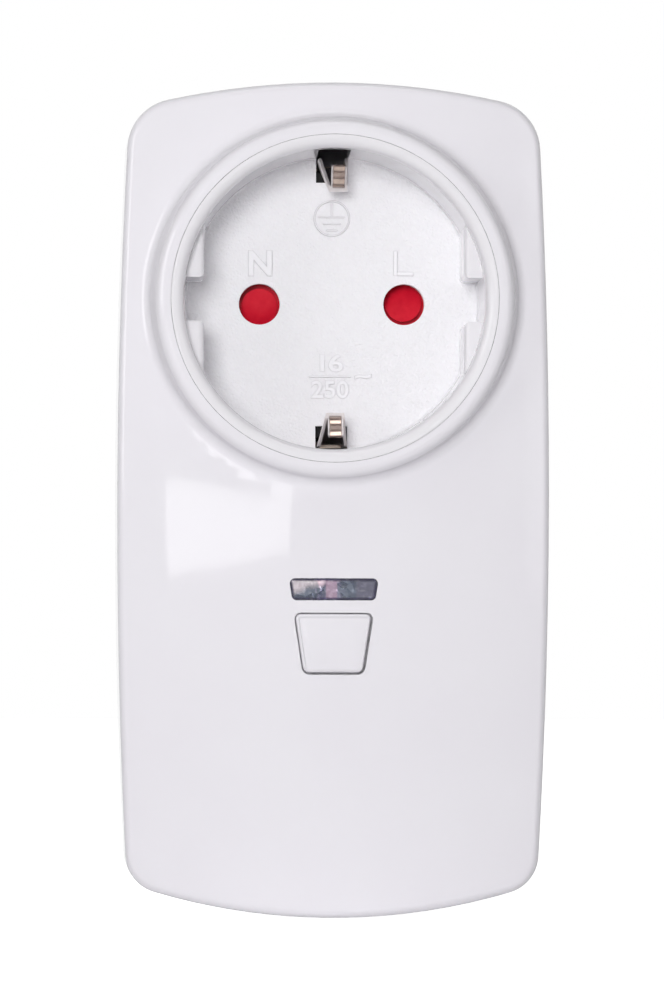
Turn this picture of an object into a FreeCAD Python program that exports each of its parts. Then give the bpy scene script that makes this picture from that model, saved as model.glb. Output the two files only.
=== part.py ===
import FreeCAD, Part
import math
import os

# Plug-in dimmer: an earthed wall plug at the back, an earthed socket at the front and a dimmer below it.
#
# Millimetres. X is to the right, Y goes back into the wall and Z is up. The origin is the centre of
# the plug's engagement face, on the axis that the plug and the socket share.

V = FreeCAD.Vector
BACK = V(0, 1, 0)
RIGHT = V(1, 0, 0)
UP = V(0, 0, 1)
LEFT_AND_RIGHT = (-1, 1)
TOP_AND_BOTTOM = (1, -1)

# Plug and socket system
pin_spacing = 19.0
pin_r = 2.4
pin_seat_r = 2.7
pin_length = 19.0
pin_tip_r = 2.28
boss_r = 18.5
boss_length = 16.5
boss_flat_x = 16.2
boss_rib_width = 5.0
boss_edge_r = 1.0
boss_root = 0.5
earth_face_z = 15.9
recess_depth = 17.5
recess_mouth_r = 19.5
recess_floor_r = 19.2
pin_hole_r = 2.7

# Body
body_width = 56.85
body_height = 109.2
axis_below_top = 28.7
body_depth = 38.0
rear_shell_depth = 16.5
side_bow_r = 880.0
top_bow_r = 105.0
bottom_bow_r = 83.0
top_corner_r = 7.0
bottom_corner_r = 5.5
dome_across_r = 130.0
dome_along_r = 600.0
dome_below_rim = 2.5
draft = math.tan(math.radians(1.5))
wall = 2.0
edge_r = 1.2
rear_edge_r = 2.0
tongue_height = 1.2
tongue_thickness = 0.9

# Collar round the socket
collar_bore_r = 21.2
collar_crest_r = 22.95
collar_slope = math.tan(math.radians(12))
collar_round_r = 1.4
collar_foot_r = 1.6
round_share = 0.45
skirt_r = 23.4

# Socket insert
insert_lip_r = 1.4
insert_floor = 2.0
insert_floor_round = 0.5
insert_flange_r = 24.0
insert_flange = 2.0
guide_tab_x = 16.85
guide_tab_below_rim = 3.5
guide_tab_gap = 5.7
guide_tab_round = 0.7
guide_tab_root = 0.3
earth_slot_width = 4.2
earth_slot_z = 16.0

# Earth clips
clip_sheet = 0.35
clip_root_behind_floor = 6.7
clip_bend_behind_floor = 1.0
clip_root_bend_r = 1.5
clip_web_overlap = 1.5
clip_tongue_lean = math.radians(45)
clip_root_width = 3.8
clip_nose_width = 2.3
clip_tongue_width = 2.0
clip_nose_z = 14.3
clip_nose_above_floor = 6.2
clip_tongue_rise = 3.2
clip_tongue_reach = 3.3
clip_edge_z = 18.8
clip_nose_r = 0.9
clip_shift_top = 0.7
clip_shift_bottom = 0.35

# Contact carrier and shutter
carrier_r = 17.5
carrier_back_gap = 2.5
chamber_r = 14.5
chamber_depth = 4.6
tower_r = 4.5
tower_past_base = 2.0
contact_pocket_r = 3.7
pivot_r = 1.5
ear_thickness = 2.0
ear_front_offset = 9.0
shutter_plate = 1.4
shutter_behind_floor = 0.3
shutter_pad_r = 3.1
shutter_boss_r = 2.4
shutter_boss_offset = 0.25
shutter_slope = 1.6
shutter_ramp_past = 0.4
shutter_hub_r = 3.6
shutter_arm_width = 4.0
spring_x = 4.2
spring_coil_r = 1.5
spring_wire = 0.4
spring_length = 9.7
spring_turns = 5

# Metal strips and contacts
strap_sheet = 0.8
strap_width = 5.8
strap_inner_r = 0.4
strap_outer_r = 1.2
leg_gap = 0.4
earth_strip_end_y = -2.0
earth_strip_end_r = 0.3
neutral_strap_width = 3.6
neutral_strap_inset = 0.6
contact_r = 2.45
contact_wall = 0.6
contact_slot = 0.7
contact_lead_in = 0.36
contact_length = 12.5
contact_tip_room = 0.5
contact_slot_foot = 3.0
contact_tab_reach = 3.3
contact_tab_width = 3.2
pin_collar_r = 3.6
pin_collar = 2.0
pin_tail_r = 1.5
pin_tail = 3.5
plug_face_wall = 3.0
rivet_r = 1.0
rivet_head_r = 1.9
rivet_head = 0.7
rivet_z = 10.5
lead_r = 0.8
lead_bend_r = 1.5
lead_drop = 3.4
lead_gap = 0.8
live_lead_turn_z = -9.0
live_lead_lane_z = -12.0
lead_landing_below_edge = 2.0

# Indicator window, push button and switch
control_top_z = -36.1
window_top_width = 11.64
window_bottom_width = 10.75
window_height = 2.85
window_frame = 0.8
window_round = 0.7
window_rim = 0.8
window_rim_thickness = 1.0
window_sink = 0.15
button_below_window = 1.6
button_top_width = 10.43
button_bottom_width = 7.97
button_height = 8.02
button_round = 1.1
button_cap_depth = 2.2
button_edge_r = 0.5
button_flange = 0.8
button_flange_thickness = 1.0
button_stem_r = 1.6
button_travel = 0.5
button_wall = 1.2
button_proud = 0.1
sleeve_wall = 1.0
sleeve_depth = 3.2
led_width = 1.9
led_height = 5.0
led_offset = 0.4
led_round = 0.3
led_standoff = 1.2
led_foot = 0.4
led_foot_thickness = 0.8
led_leg = 0.5
led_leg_pitch = 2.54
switch_size = 6.0
switch_height = 3.4
switch_round = 0.4
switch_stud_r = 0.45
plunger_r = 1.7
plunger_out = 1.7
plunger_depth = 1.0
plunger_bevel = 0.3

# Boards, posts and screws
board_thickness = 1.6
board_front_from_rim = 14.2
board_side_gap = 2.925
board_top_z = -27.0
board_bottom_gap = 6.0
screw_r = 1.5
screw_head_r = 2.8
screw_head = 1.8
screw_head_bevel = 0.4
cover_post_r = 3.1
cover_screw_length = 22.0
board_screw_r = 1.1
board_screw_head_r = 2.0
board_screw_head = 1.3
board_post_r = 2.4
board_screw_length = 5.5
ear_screw_length = 9.0
cover_screw_sink = 2.5
screw_head_wall = 1.0
upper_post_right = 0.5
upper_post_up = 1.0
lower_post_right = -0.7
lower_post_up = 0.4
ear_post_x = 17.6
ear_post_z = -20.4
ear_post_r = 2.7
board_post_inset = 3.5
board_post_upper_z = -31.2
board_post_lower_z = -60.0
board_corner_r = 2.0
board_notch_gap = 0.5

# Smallest corner round of an inner outline
least_round = 0.2

# How far a cutter runs past a face, and how far an added piece is rooted in what carries it
cut_past = 1.0
root_depth = 0.5

# Clearances
slide_gap = 0.2
turn_gap = 0.06
seat_gap = 0.1
fit_gap = 0.05
flex_gap = 0.3

# Stations worked out from the sizes above
wall_face_y = -boss_length
rim_y = wall_face_y - body_depth
floor_y = rim_y + recess_depth
floor_back_y = floor_y + insert_floor
parting_y = wall_face_y - rear_shell_depth
dome_y = rim_y + dome_below_rim
inner_back_y = wall_face_y - wall
middle_z = axis_below_top - body_height / 2
bottom_z = axis_below_top - body_height
carrier_back_y = inner_back_y - carrier_back_gap
chamber_y = floor_back_y + chamber_depth
board_front_y = rim_y + board_front_from_rim
board_back_y = board_front_y + board_thickness
pin_x = pin_spacing / 2
post_joint_y = carrier_back_y - ear_front_offset
ear_back_y = post_joint_y + ear_thickness
button_top_z = control_top_z - window_height - button_below_window
button_bottom_z = button_top_z - button_height
button_middle_z = (button_top_z + button_bottom_z) / 2
window_middle_z = control_top_z - window_height / 2
window_rim_y = dome_y + wall + window_frame
window_back_y = window_rim_y + window_rim_thickness
sleeve_y = dome_y + sleeve_depth
flange_y = sleeve_y + seat_gap
stem_y = board_front_y - switch_height - plunger_out
clip_root_y = floor_back_y + clip_root_behind_floor
cover_screw_seat_y = wall_face_y - screw_head - cover_screw_sink
cover_screw_tip_y = cover_screw_seat_y - cover_screw_length
leg_z = carrier_r + leg_gap
base_y = floor_y + pin_length + contact_tip_room
tower_back_y = base_y + tower_past_base
pin_tail_y = -plug_face_wall - pin_collar - pin_tail
live_turn_y = (pin_tail_y + tower_back_y) / 2
front_limit_y = rim_y + cut_past
lead_lane_y = (carrier_back_y + inner_back_y) / 2
lead_landing_z = board_top_z - lead_landing_below_edge
board_bottom_z = bottom_z + board_bottom_gap
board_half_width = body_width / 2 - wall - board_side_gap
board_post_x = board_half_width - board_post_inset
led_front_y = flange_y + button_flange_thickness + button_travel + slide_gap


# Helpers

def rounded_face(corners, place):
    """Face with corners (a, b, radius), which place() puts in space. A radius of 0 is a sharp corner."""
    points = [place(a, b) for a, b, radius in corners]
    bends = []
    for i, point in enumerate(points):
        radius = corners[i][2]
        if radius == 0:
            bends.append((point, point, point))
            continue
        before = (points[i - 1] - point).normalize()
        after = (points[(i + 1) % len(points)] - point).normalize()
        half = before.getAngle(after) / 2
        inward = (before + after).normalize()
        reach = radius / math.tan(half)
        depth = radius / math.sin(half) - radius
        bends.append((point + before * reach, point + inward * depth, point + after * reach))
    edges = []
    for i, (start, middle, end) in enumerate(bends):
        if corners[i][2] > 0:
            edges.append(Part.Arc(start, middle, end).toShape())
        following = bends[(i + 1) % len(bends)][0]
        if (following - end).Length > 1e-6:
            edges.append(Part.makeLine(end, following))
    return Part.Face(Part.Wire(edges))


def prism(corners, y0, y1):
    """Corners (x, z, radius), pushed from y0 to y1."""
    return rounded_face(corners, lambda x, z: V(x, y0, z)).extrude(V(0, y1 - y0, 0))


def profile_bar(corners, x0, x1):
    """Corners (y, z, radius), pushed from x0 to x1."""
    return rounded_face(corners, lambda y, z: V(x0, y, z)).extrude(V(x1 - x0, 0, 0))


def turned(corners, x=0.0, z=0.0):
    """Corners (r, y, radius), turned round an axis along Y."""
    face = rounded_face(corners, lambda r, y: V(x + r, y, z))
    return face.revolve(V(x, 0, z), BACK, 360)


def rod(radius, y0, y1, x=0.0, z=0.0):
    """Cylinder along Y, from the lower station y0 to the higher one y1."""
    return Part.makeCylinder(radius, y1 - y0, V(x, y0, z), BACK)


def box(x0, x1, y0, y1, z0, z1):
    return Part.makeBox(x1 - x0, y1 - y0, z1 - z0, V(x0, y0, z0))


def box_between(xa, xb, ya, yb, za, zb):
    """Box between two opposite corners, given in any order."""
    return box(min(xa, xb), max(xa, xb), min(ya, yb), max(ya, yb), min(za, zb), max(za, zb))


def rectangle(x0, x1, z0, z1, radius):
    return [(x0, z0, radius), (x1, z0, radius), (x1, z1, radius), (x0, z1, radius)]


def trapezoid(top_width, bottom_width, top_z, bottom_z, top_r, bottom_r, grow):
    """Corners of a trapezoid that is narrower below, moved outward by grow."""
    lean = (top_width - bottom_width) / 2 / (top_z - bottom_z)
    side = grow * math.sqrt(1 + lean * lean)
    top = top_width / 2 + side + lean * grow
    bottom = bottom_width / 2 + side - lean * grow
    bottom_round = max(bottom_r + grow, least_round)
    top_round = max(top_r + grow, least_round)
    return [
        (-bottom, bottom_z - grow, bottom_round),
        (bottom, bottom_z - grow, bottom_round),
        (top, top_z + grow, top_round),
        (-top, top_z + grow, top_round),
    ]


def tube(points):
    """Round lead along a route of straight runs that tangent arcs join."""
    edges = []
    here = points[0]
    for i in range(1, len(points) - 1):
        before = (points[i - 1] - points[i]).normalize()
        after = (points[i + 1] - points[i]).normalize()
        half = before.getAngle(after) / 2
        reach = lead_bend_r / math.tan(half)
        inward = (before + after).normalize()
        start = points[i] + before * reach
        end = points[i] + after * reach
        edges.append(Part.makeLine(here, start))
        middle = points[i] + inward * (lead_bend_r / math.sin(half) - lead_bend_r)
        edges.append(Part.Arc(start, middle, end).toShape())
        here = end
    edges.append(Part.makeLine(here, points[-1]))
    route = Part.Wire(edges)
    ring = Part.Wire(Part.makeCircle(lead_r, points[0], points[1] - points[0]))
    solid = route.makePipeShell([ring], True, False)
    share = solid.Volume / (math.pi * lead_r ** 2 * route.Length)
    print("lead length", round(route.Length, 1), "volume share", round(share, 4))
    return solid


def joined(shapes):
    """One solid from overlapping or touching pieces."""
    return shapes[0].multiFuse(shapes[1:]).removeSplitter()


def mirrored_x(shape):
    return shape.mirror(V(0, 0, 0), RIGHT)


def mirrored_z(shape):
    return shape.mirror(V(0, 0, 0), UP)


def screw(seat_y, length, x, z, shank_r, head_r, head_height):
    """Screw on an axis along Y, with its head behind the seat and its shank in front of it."""
    shank = rod(shank_r, seat_y - length, seat_y, x, z)
    head = rod(head_r, seat_y, seat_y + head_height, x, z)
    rim = [e for e in head.Edges if e.BoundBox.YMin > seat_y + head_height / 2]
    head = head.makeChamfer(head_height * screw_head_bevel, rim)
    return joined([shank, head])


# Body form, shared by both covers

def corner_centre(bow_centre_z, bow_r, corner_r):
    """Centre of the right-hand corner round that touches the side bow and the top or bottom bow."""
    side_x = body_width / 2 - side_bow_r
    span_z = bow_centre_z - middle_z
    span = math.hypot(side_x, span_z)
    from_side = side_bow_r - corner_r
    from_bow = bow_r - corner_r
    along = (from_side ** 2 - from_bow ** 2 + span ** 2) / (2 * span)
    off = math.sqrt(from_side ** 2 - along ** 2)
    ux = -side_x / span
    uz = span_z / span
    sign = 1 if bow_centre_z < middle_z else -1
    return V(side_x + along * ux - sign * off * uz, 0, middle_z + along * uz + sign * off * ux)


top_bow_z = axis_below_top - top_bow_r
bottom_bow_z = bottom_z + bottom_bow_r
top_corner = corner_centre(top_bow_z, top_bow_r, top_corner_r)
bottom_corner = corner_centre(bottom_bow_z, bottom_bow_r, bottom_corner_r)
upper_post = V(top_corner.x + upper_post_right, 0, top_corner.z + upper_post_up)
lower_post = V(bottom_corner.x + lower_post_right, 0, bottom_corner.z + lower_post_up)


def outline(y, inset):
    """The body's outline at station y, moved inward by inset: four shallow bows and four corner rounds."""

    def touch(centre, bow_centre, radius):
        return centre + (centre - bow_centre).normalize() * radius

    def bend(a, b, centre, radius):
        middle = ((a - centre).normalize() + (b - centre).normalize()).normalize()
        return Part.Arc(a, centre + middle * radius, b).toShape()

    side_centre = V(body_width / 2 - side_bow_r, 0, middle_z)
    top_centre = V(0, 0, top_bow_z)
    bottom_centre = V(0, 0, bottom_bow_z)
    top_r = top_corner_r - inset
    bottom_r = bottom_corner_r - inset
    side_top = touch(top_corner, side_centre, top_r)
    top_side = touch(top_corner, top_centre, top_r)
    side_bottom = touch(bottom_corner, side_centre, bottom_r)
    bottom_side = touch(bottom_corner, bottom_centre, bottom_r)

    def left(point):
        return V(-point.x, point.y, point.z)

    half = body_width / 2 - inset
    edges = [
        Part.Arc(side_bottom, V(half, 0, middle_z), side_top).toShape(),
        bend(side_top, top_side, top_corner, top_r),
        Part.Arc(top_side, V(0, 0, axis_below_top - inset), left(top_side)).toShape(),
        bend(left(top_side), left(side_top), left(top_corner), top_r),
        Part.Arc(left(side_top), V(-half, 0, middle_z), left(side_bottom)).toShape(),
        bend(left(side_bottom), left(bottom_side), left(bottom_corner), bottom_r),
        Part.Arc(left(bottom_side), V(0, 0, bottom_z + inset), bottom_side).toShape(),
        bend(bottom_side, side_bottom, bottom_corner, bottom_r),
    ]
    wire = Part.Wire(edges)
    wire.translate(V(0, y, 0))
    return wire


def body_block(y0, y1, inset0, inset1):
    """Solid between the outlines at two stations, with straight drafted sides."""
    return Part.makeLoft([outline(y0, inset0), outline(y1, inset1)], True, True)


def dome(depth):
    """Solid behind the domed front, moved back by depth. It bows across X and, less, along Z."""
    half = body_width * 0.7
    across = dome_across_r - depth
    apex = dome_y + depth
    sag = across - math.sqrt(across ** 2 - half ** 2)
    left_end = V(-half, apex + sag, middle_z)
    right_end = V(half, apex + sag, middle_z)
    edges = [
        Part.Arc(left_end, V(0, apex, middle_z), right_end).toShape(),
        Part.makeLine(right_end, V(half, wall_face_y, middle_z)),
        Part.makeLine(V(half, wall_face_y, middle_z), V(-half, wall_face_y, middle_z)),
        Part.makeLine(V(-half, wall_face_y, middle_z), left_end),
    ]
    face = Part.Face(Part.Wire(edges))
    pivot = V(0, dome_y + dome_along_r, middle_z)
    swing = math.degrees(body_height * 0.65 / dome_along_r)
    face.rotate(pivot, RIGHT, -swing)
    return face.revolve(pivot, RIGHT, 2 * swing)


def dome_station(x, z):
    """Station of the domed face at x, z."""
    across = dome_across_r - math.sqrt(dome_across_r ** 2 - x ** 2)
    return dome_y + dome_along_r - math.sqrt((dome_along_r - across) ** 2 - (z - middle_z) ** 2)


def deepest_dome_round_collar():
    """Station of the dome's lowest point over the rim of the insert's flange."""
    angles = [math.radians(degrees) for degrees in range(0, 181, 10)]
    return max(dome_station(insert_flange_r * math.sin(a), insert_flange_r * math.cos(a)) for a in angles)


def side_bow():
    """How far the side has drawn in at the socket's axis."""
    return side_bow_r - math.sqrt(side_bow_r ** 2 - middle_z ** 2)


def land_beside_collar():
    """Width of the face that is left at the sides, between the collar's flank and the body's flank."""
    y = dome_station(collar_crest_r, 0)
    side_x = body_width / 2 - side_bow() - draft * (parting_y - y)
    return side_x - collar_crest_r - collar_slope * (y - rim_y)


skirt_y = deepest_dome_round_collar() + wall + seat_gap


def at_both_sides(shape):
    return [shape, mirrored_x(shape)]


def window_corners(grow):
    return trapezoid(window_top_width, window_bottom_width, control_top_z, control_top_z - window_height,
                     window_round, window_round, grow)


def button_corners(grow):
    return trapezoid(button_top_width, button_bottom_width, button_top_z, button_bottom_z,
                     button_round * 0.8, button_round, grow)


# Covers

def front_cover():
    """Domed front half of the housing, with the collar, the socket's skirt and the screw posts."""
    front_inset = draft * (parting_y - front_limit_y)
    shell = body_block(parting_y, front_limit_y, 0, front_inset).common(dome(0))
    rim = [e for e in shell.Edges if e.BoundBox.YMax < parting_y - wall]
    land = land_beside_collar()
    rim_round = min(edge_r, round_share * land)
    shell = shell.makeFillet(rim_round, rim)
    collar_back_y = deepest_dome_round_collar() + root_depth
    collar_back_r = collar_crest_r + collar_slope * (collar_back_y - rim_y)
    collar = turned([(0, rim_y, 0), (collar_crest_r, rim_y, collar_round_r),
                     (collar_back_r, collar_back_y, 0), (0, collar_back_y, 0)])
    shell = shell.fuse(collar).removeSplitter()
    foot_round = min(collar_foot_r, land - rim_round - fit_gap)
    shell = shell.makeFillet(foot_round, collar_foot(shell, collar_back_r))
    cavity = body_block(parting_y + cut_past, front_limit_y, wall - draft, wall + front_inset)
    cavity = cavity.common(dome(wall)).cut(rod(skirt_r, rim_y, skirt_y))
    shell = shell.cut(cavity)
    rebate_inset = wall - tongue_thickness - seat_gap
    shell = shell.cut(body_block(parting_y - tongue_height - seat_gap, parting_y + cut_past,
                                 rebate_inset, rebate_inset))
    added = [rod(cover_post_r, dome_y, post_joint_y, x, z) for x, z in cover_screw_places()]
    added += [rod(ear_post_r, dome_y, post_joint_y, x, z) for x, z in ear_screw_places()]
    added += [rod(board_post_r, dome_y, board_front_y, x, z) for x, z in board_screw_places()]
    added.append(prism(window_corners(window_rim), dome_y, window_rim_y))
    added.append(prism(button_corners(sleeve_wall), dome_y, sleeve_y))
    within = dome(wall / 2)
    shell = shell.multiFuse([piece.common(within) for piece in added])
    shell = shell.cut(rod(collar_bore_r, rim_y - wall, skirt_y + root_depth))
    shell = shell.cut(prism(window_corners(0), rim_y, sleeve_y))
    shell = shell.cut(prism(button_corners(0), rim_y, sleeve_y + cut_past))
    for x, z in cover_screw_places():
        shell = shell.cut(rod(screw_r, cover_screw_tip_y - seat_gap, post_joint_y + cut_past, x, z))
    for x, z in ear_screw_places():
        shell = shell.cut(rod(board_screw_r, ear_back_y - ear_screw_length - seat_gap,
                              post_joint_y + cut_past, x, z))
    for x, z in board_screw_places():
        shell = shell.cut(rod(board_screw_r, board_back_y - board_screw_length - seat_gap,
                              board_front_y + cut_past, x, z))
    return shell.removeSplitter()


def collar_foot(shell, outer_r):
    """Edges where the collar's flank meets the dome."""
    foot = []
    for edge in shell.Edges:
        middle = edge.valueAt((edge.FirstParameter + edge.LastParameter) / 2)
        reach = math.hypot(middle.x, middle.z)
        if collar_crest_r < reach < outer_r and middle.y > dome_y - seat_gap:
            foot.append(edge)
    return foot


def cover_screw_places():
    return [(side * post.x, post.z) for post in (upper_post, lower_post) for side in LEFT_AND_RIGHT]


def ear_screw_places():
    return [(side * ear_post_x, ear_post_z) for side in LEFT_AND_RIGHT]


def board_screw_places():
    heights = (board_post_upper_z, board_post_lower_z)
    return [(side * board_post_x, z) for z in heights for side in LEFT_AND_RIGHT]


def boss_section(shrink):
    """Plug boss with its side flats, guide ribs and earth grooves, shrunk on all sides by the wall."""
    radius = boss_r - shrink
    flat = boss_flat_x - shrink
    rib = boss_rib_width / 2 if shrink == 0 else 0
    body = turned([(0, inner_back_y, 0), (radius, inner_back_y, 0), (radius, 0, boss_edge_r), (0, 0, 0)])
    front_y = inner_back_y - cut_past
    far = boss_r + cut_past
    for side in LEFT_AND_RIGHT:
        for up in TOP_AND_BOTTOM:
            body = body.cut(box_between(side * flat, side * far, front_y, cut_past, up * rib, up * far))
    groove_z = earth_face_z - strap_sheet - shrink
    groove_x = strap_width / 2 + seat_gap + shrink
    for up in TOP_AND_BOTTOM:
        body = body.cut(box_between(-groove_x, groove_x, front_y, cut_past, up * groove_z, up * far))
    return body


def rear_cover():
    """Rear half of the housing: a drafted tray with the hollow plug boss and the screw posts."""
    back_inset = draft * rear_shell_depth
    shell = body_block(parting_y, wall_face_y, 0, back_inset)
    rim = [e for e in shell.Edges if e.BoundBox.YMin > wall_face_y - seat_gap]
    shell = shell.makeFillet(rear_edge_r, rim)
    shell = shell.cut(body_block(parting_y - cut_past, inner_back_y, wall - draft, wall + back_inset))
    tongue_inset = wall - tongue_thickness
    tongue = body_block(parting_y - tongue_height, parting_y + wall, tongue_inset, tongue_inset)
    tongue = tongue.cut(body_block(parting_y - wall, parting_y + 2 * wall, wall, wall))
    posts_back_y = inner_back_y + root_depth
    posts = [rod(cover_post_r, ear_back_y if z > 0 else post_joint_y, posts_back_y, x, z)
             for x, z in cover_screw_places()]
    posts += [rod(screw_head_r + slide_gap + screw_head_wall, cover_screw_seat_y - screw_head_wall,
                  posts_back_y, x, z) for x, z in cover_screw_places()]
    shell = shell.multiFuse([tongue, boss_section(0)] + posts)
    hollow = boss_section(wall).cut(box(-boss_r, boss_r, -plug_face_wall, cut_past, -boss_r, boss_r))
    shell = shell.cut(hollow)
    for side in LEFT_AND_RIGHT:
        shell = shell.cut(rod(pin_seat_r + fit_gap, -plug_face_wall - cut_past, cut_past, side * pin_x, 0))
    slot_x = strap_width / 2 + fit_gap
    for side in TOP_AND_BOTTOM:
        shell = shell.cut(box_between(-slot_x, slot_x, inner_back_y - cut_past, wall_face_y + boss_root,
                                      side * (earth_face_z - strap_sheet - fit_gap),
                                      side * (earth_face_z + fit_gap)))
    for x, z in cover_screw_places():
        shell = shell.cut(rod(screw_r + fit_gap, post_joint_y - cut_past, wall_face_y + cut_past, x, z))
        shell = shell.cut(rod(screw_head_r + slide_gap, cover_screw_seat_y, wall_face_y + cut_past, x, z))
    return shell.removeSplitter()


def cover_screws():
    """Four screws, put in from the back, that hold the covers together."""
    screws = [screw(cover_screw_seat_y, cover_screw_length, x, z, screw_r, screw_head_r, screw_head)
              for x, z in cover_screw_places()]
    return Part.makeCompound(screws)


# Socket

def socket_insert():
    """White cup of the socket: rolled lip, guide tabs at both sides, pin holes and earth slots."""
    outer = collar_bore_r - fit_gap
    cup = turned([
        (0, floor_y, 0),
        (recess_floor_r, floor_y, insert_floor_round),
        (recess_mouth_r, rim_y, insert_lip_r),
        (outer, rim_y, 0),
        (outer, skirt_y, 0),
        (insert_flange_r, skirt_y, 0),
        (insert_flange_r, skirt_y + insert_flange, 0),
        (outer, skirt_y + insert_flange, 0),
        (outer, floor_back_y, 0),
        (0, floor_back_y, 0),
    ])
    room = body_width / 2 - side_bow() - draft * (parting_y - skirt_y) - wall - slide_gap
    cup = cup.common(box(-room, room, rim_y, floor_back_y, -insert_flange_r, insert_flange_r))
    tab_y = rim_y + guide_tab_below_rim
    half_gap = guide_tab_gap / 2
    tabs = []
    for z0, z1 in ((half_gap, recess_mouth_r), (-recess_mouth_r, -half_gap)):
        tab = box(guide_tab_x, outer, tab_y, floor_y + root_depth, z0, z1)
        edges = [e for e in tab.Edges if abs(e.CenterOfMass.x - guide_tab_x) < 0.01
                 and (abs(e.CenterOfMass.y - tab_y) < 0.01 or abs(abs(e.CenterOfMass.z) - half_gap) < 0.01)]
        tab = tab.makeFillet(guide_tab_round, edges)
        tabs += at_both_sides(tab.common(rod(recess_mouth_r + guide_tab_root, tab_y, floor_y + root_depth)))
    cup = cup.multiFuse(tabs)
    half_slot = earth_slot_width / 2
    for side in TOP_AND_BOTTOM:
        near = side * earth_slot_z
        far = side * collar_bore_r
        slot = box_between(-half_slot, half_slot, tab_y, floor_back_y + cut_past, near, far)
        cup = cup.cut(slot)
    for side in LEFT_AND_RIGHT:
        cup = cup.cut(rod(pin_hole_r, floor_y - cut_past, floor_back_y + cut_past, side * pin_x, 0))
    return cup.removeSplitter()


def contact_carrier():
    """Moulding behind the socket's floor: shutter chamber, pivot, contact towers and four ears."""
    body = rod(carrier_r, floor_back_y, carrier_back_y)
    pad_y = chamber_y - root_depth
    pads = profile_bar([(pad_y, -leg_z, 0), (carrier_back_y, -leg_z, strap_inner_r + seat_gap),
                        (carrier_back_y, leg_z, strap_inner_r + seat_gap), (pad_y, leg_z, 0)],
                       -strap_width / 2, strap_width / 2)
    towers = [rod(tower_r, chamber_y, tower_back_y, side * pin_x, 0) for side in LEFT_AND_RIGHT]
    ears = []
    for x, z in ear_screw_places():
        ears.append(ear(x, z, ear_post_r))
    for x, z in cover_screw_places():
        if z > 0:
            ears.append(ear(x, z, cover_post_r))
    body = body.multiFuse([pads] + towers + ears)
    chamber = rod(chamber_r, floor_back_y - cut_past, chamber_y)
    seat_half = spring_coil_r + spring_wire + flex_gap
    spring_seat = box(spring_x - seat_half, spring_x + seat_half, floor_back_y, chamber_y + root_depth,
                      -chamber_r, spring_seat_z())
    chamber = chamber.cut(spring_seat)
    body = body.cut(chamber)
    body = body.fuse(rod(pivot_r, floor_back_y + seat_gap, chamber_y + root_depth))
    tab = contact_tab_width / 2 + fit_gap
    mouth_y = tower_back_y + cut_past
    tab_slot_y = base_y + strap_sheet / 2 - lead_r - flex_gap
    for side in LEFT_AND_RIGHT:
        x = side * pin_x
        body = body.cut(rod(contact_pocket_r, chamber_y - cut_past, mouth_y, x, 0))
        body = body.cut(box(x - tab, x + tab, tab_slot_y, mouth_y, -carrier_r - cut_past, 0))
    for z in (rivet_z, -rivet_z):
        body = body.cut(rod(rivet_head_r + slide_gap, carrier_back_y - rivet_head - seat_gap,
                            carrier_back_y + cut_past, 0, z))
    for x, z in cover_screw_places():
        body = body.cut(rod(screw_r + fit_gap, post_joint_y - cut_past, ear_back_y + cut_past, x, z))
    for x, z in ear_screw_places():
        body = body.cut(rod(board_screw_r + fit_gap, post_joint_y - cut_past, ear_back_y + cut_past, x, z))
    return body.removeSplitter()


def spring_seat_z():
    return -shutter_arm_width / 2 - flex_gap - spring_length


def ear(x, z, end_r):
    """Flat arm from the carrier's wall to a screw post."""
    reach = math.hypot(x, z)
    across = V(-z / reach, 0, x / reach) * end_r
    root = V(x / reach, 0, z / reach) * (carrier_r - ear_thickness)
    end = V(x, 0, z)
    corners = [root + across, root - across, end - across, end + across]
    arm = Part.Face(Part.makePolygon([c + V(0, post_joint_y, 0) for c in corners + corners[:1]]))
    return arm.extrude(V(0, ear_thickness, 0)).fuse(rod(end_r, post_joint_y, ear_back_y, x, z))


def carrier_screws():
    """Two screws through the carrier's lower ears."""
    screws = [screw(ear_back_y, ear_screw_length, x, z,
                    board_screw_r, board_screw_head_r, board_screw_head)
              for x, z in ear_screw_places()]
    return Part.makeCompound(screws)


def shutter():
    """Rotary safety shutter: a hub, two arms and two sloping pads that cover the pin holes."""
    top_y = floor_back_y + shutter_behind_floor
    plate_y = top_y + shutter_slope
    back_y = plate_y + shutter_plate
    pieces = [rod(shutter_hub_r, plate_y, back_y)]
    half = shutter_arm_width / 2
    pieces.append(box(-pin_x, pin_x, plate_y, back_y, -half, half))
    for side in LEFT_AND_RIGHT:
        pieces.append(rod(shutter_pad_r, plate_y, back_y, side * pin_x, 0))
        pieces.append(shutter_pad(side, top_y, plate_y))
    body = joined(pieces)
    return body.cut(rod(pivot_r + turn_gap, top_y - cut_past, back_y + cut_past))


def shutter_pad(side, top_y, plate_y):
    """Round boss over one pin hole. Its face slopes, and the pin pushes it towards the high side."""
    z = side * shutter_boss_offset
    boss = rod(shutter_boss_r, top_y, plate_y + root_depth, side * pin_x, z)
    high = z - side * (shutter_boss_r + shutter_ramp_past)
    low = z + side * (shutter_boss_r + seat_gap)
    front_y = top_y - cut_past
    wedge = [(front_y, high, 0), (top_y, high, 0), (plate_y - fit_gap, low, 0), (front_y, low, 0)]
    half = shutter_boss_r + root_depth
    return boss.cut(profile_bar(wedge, side * pin_x - half, side * pin_x + half))


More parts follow.
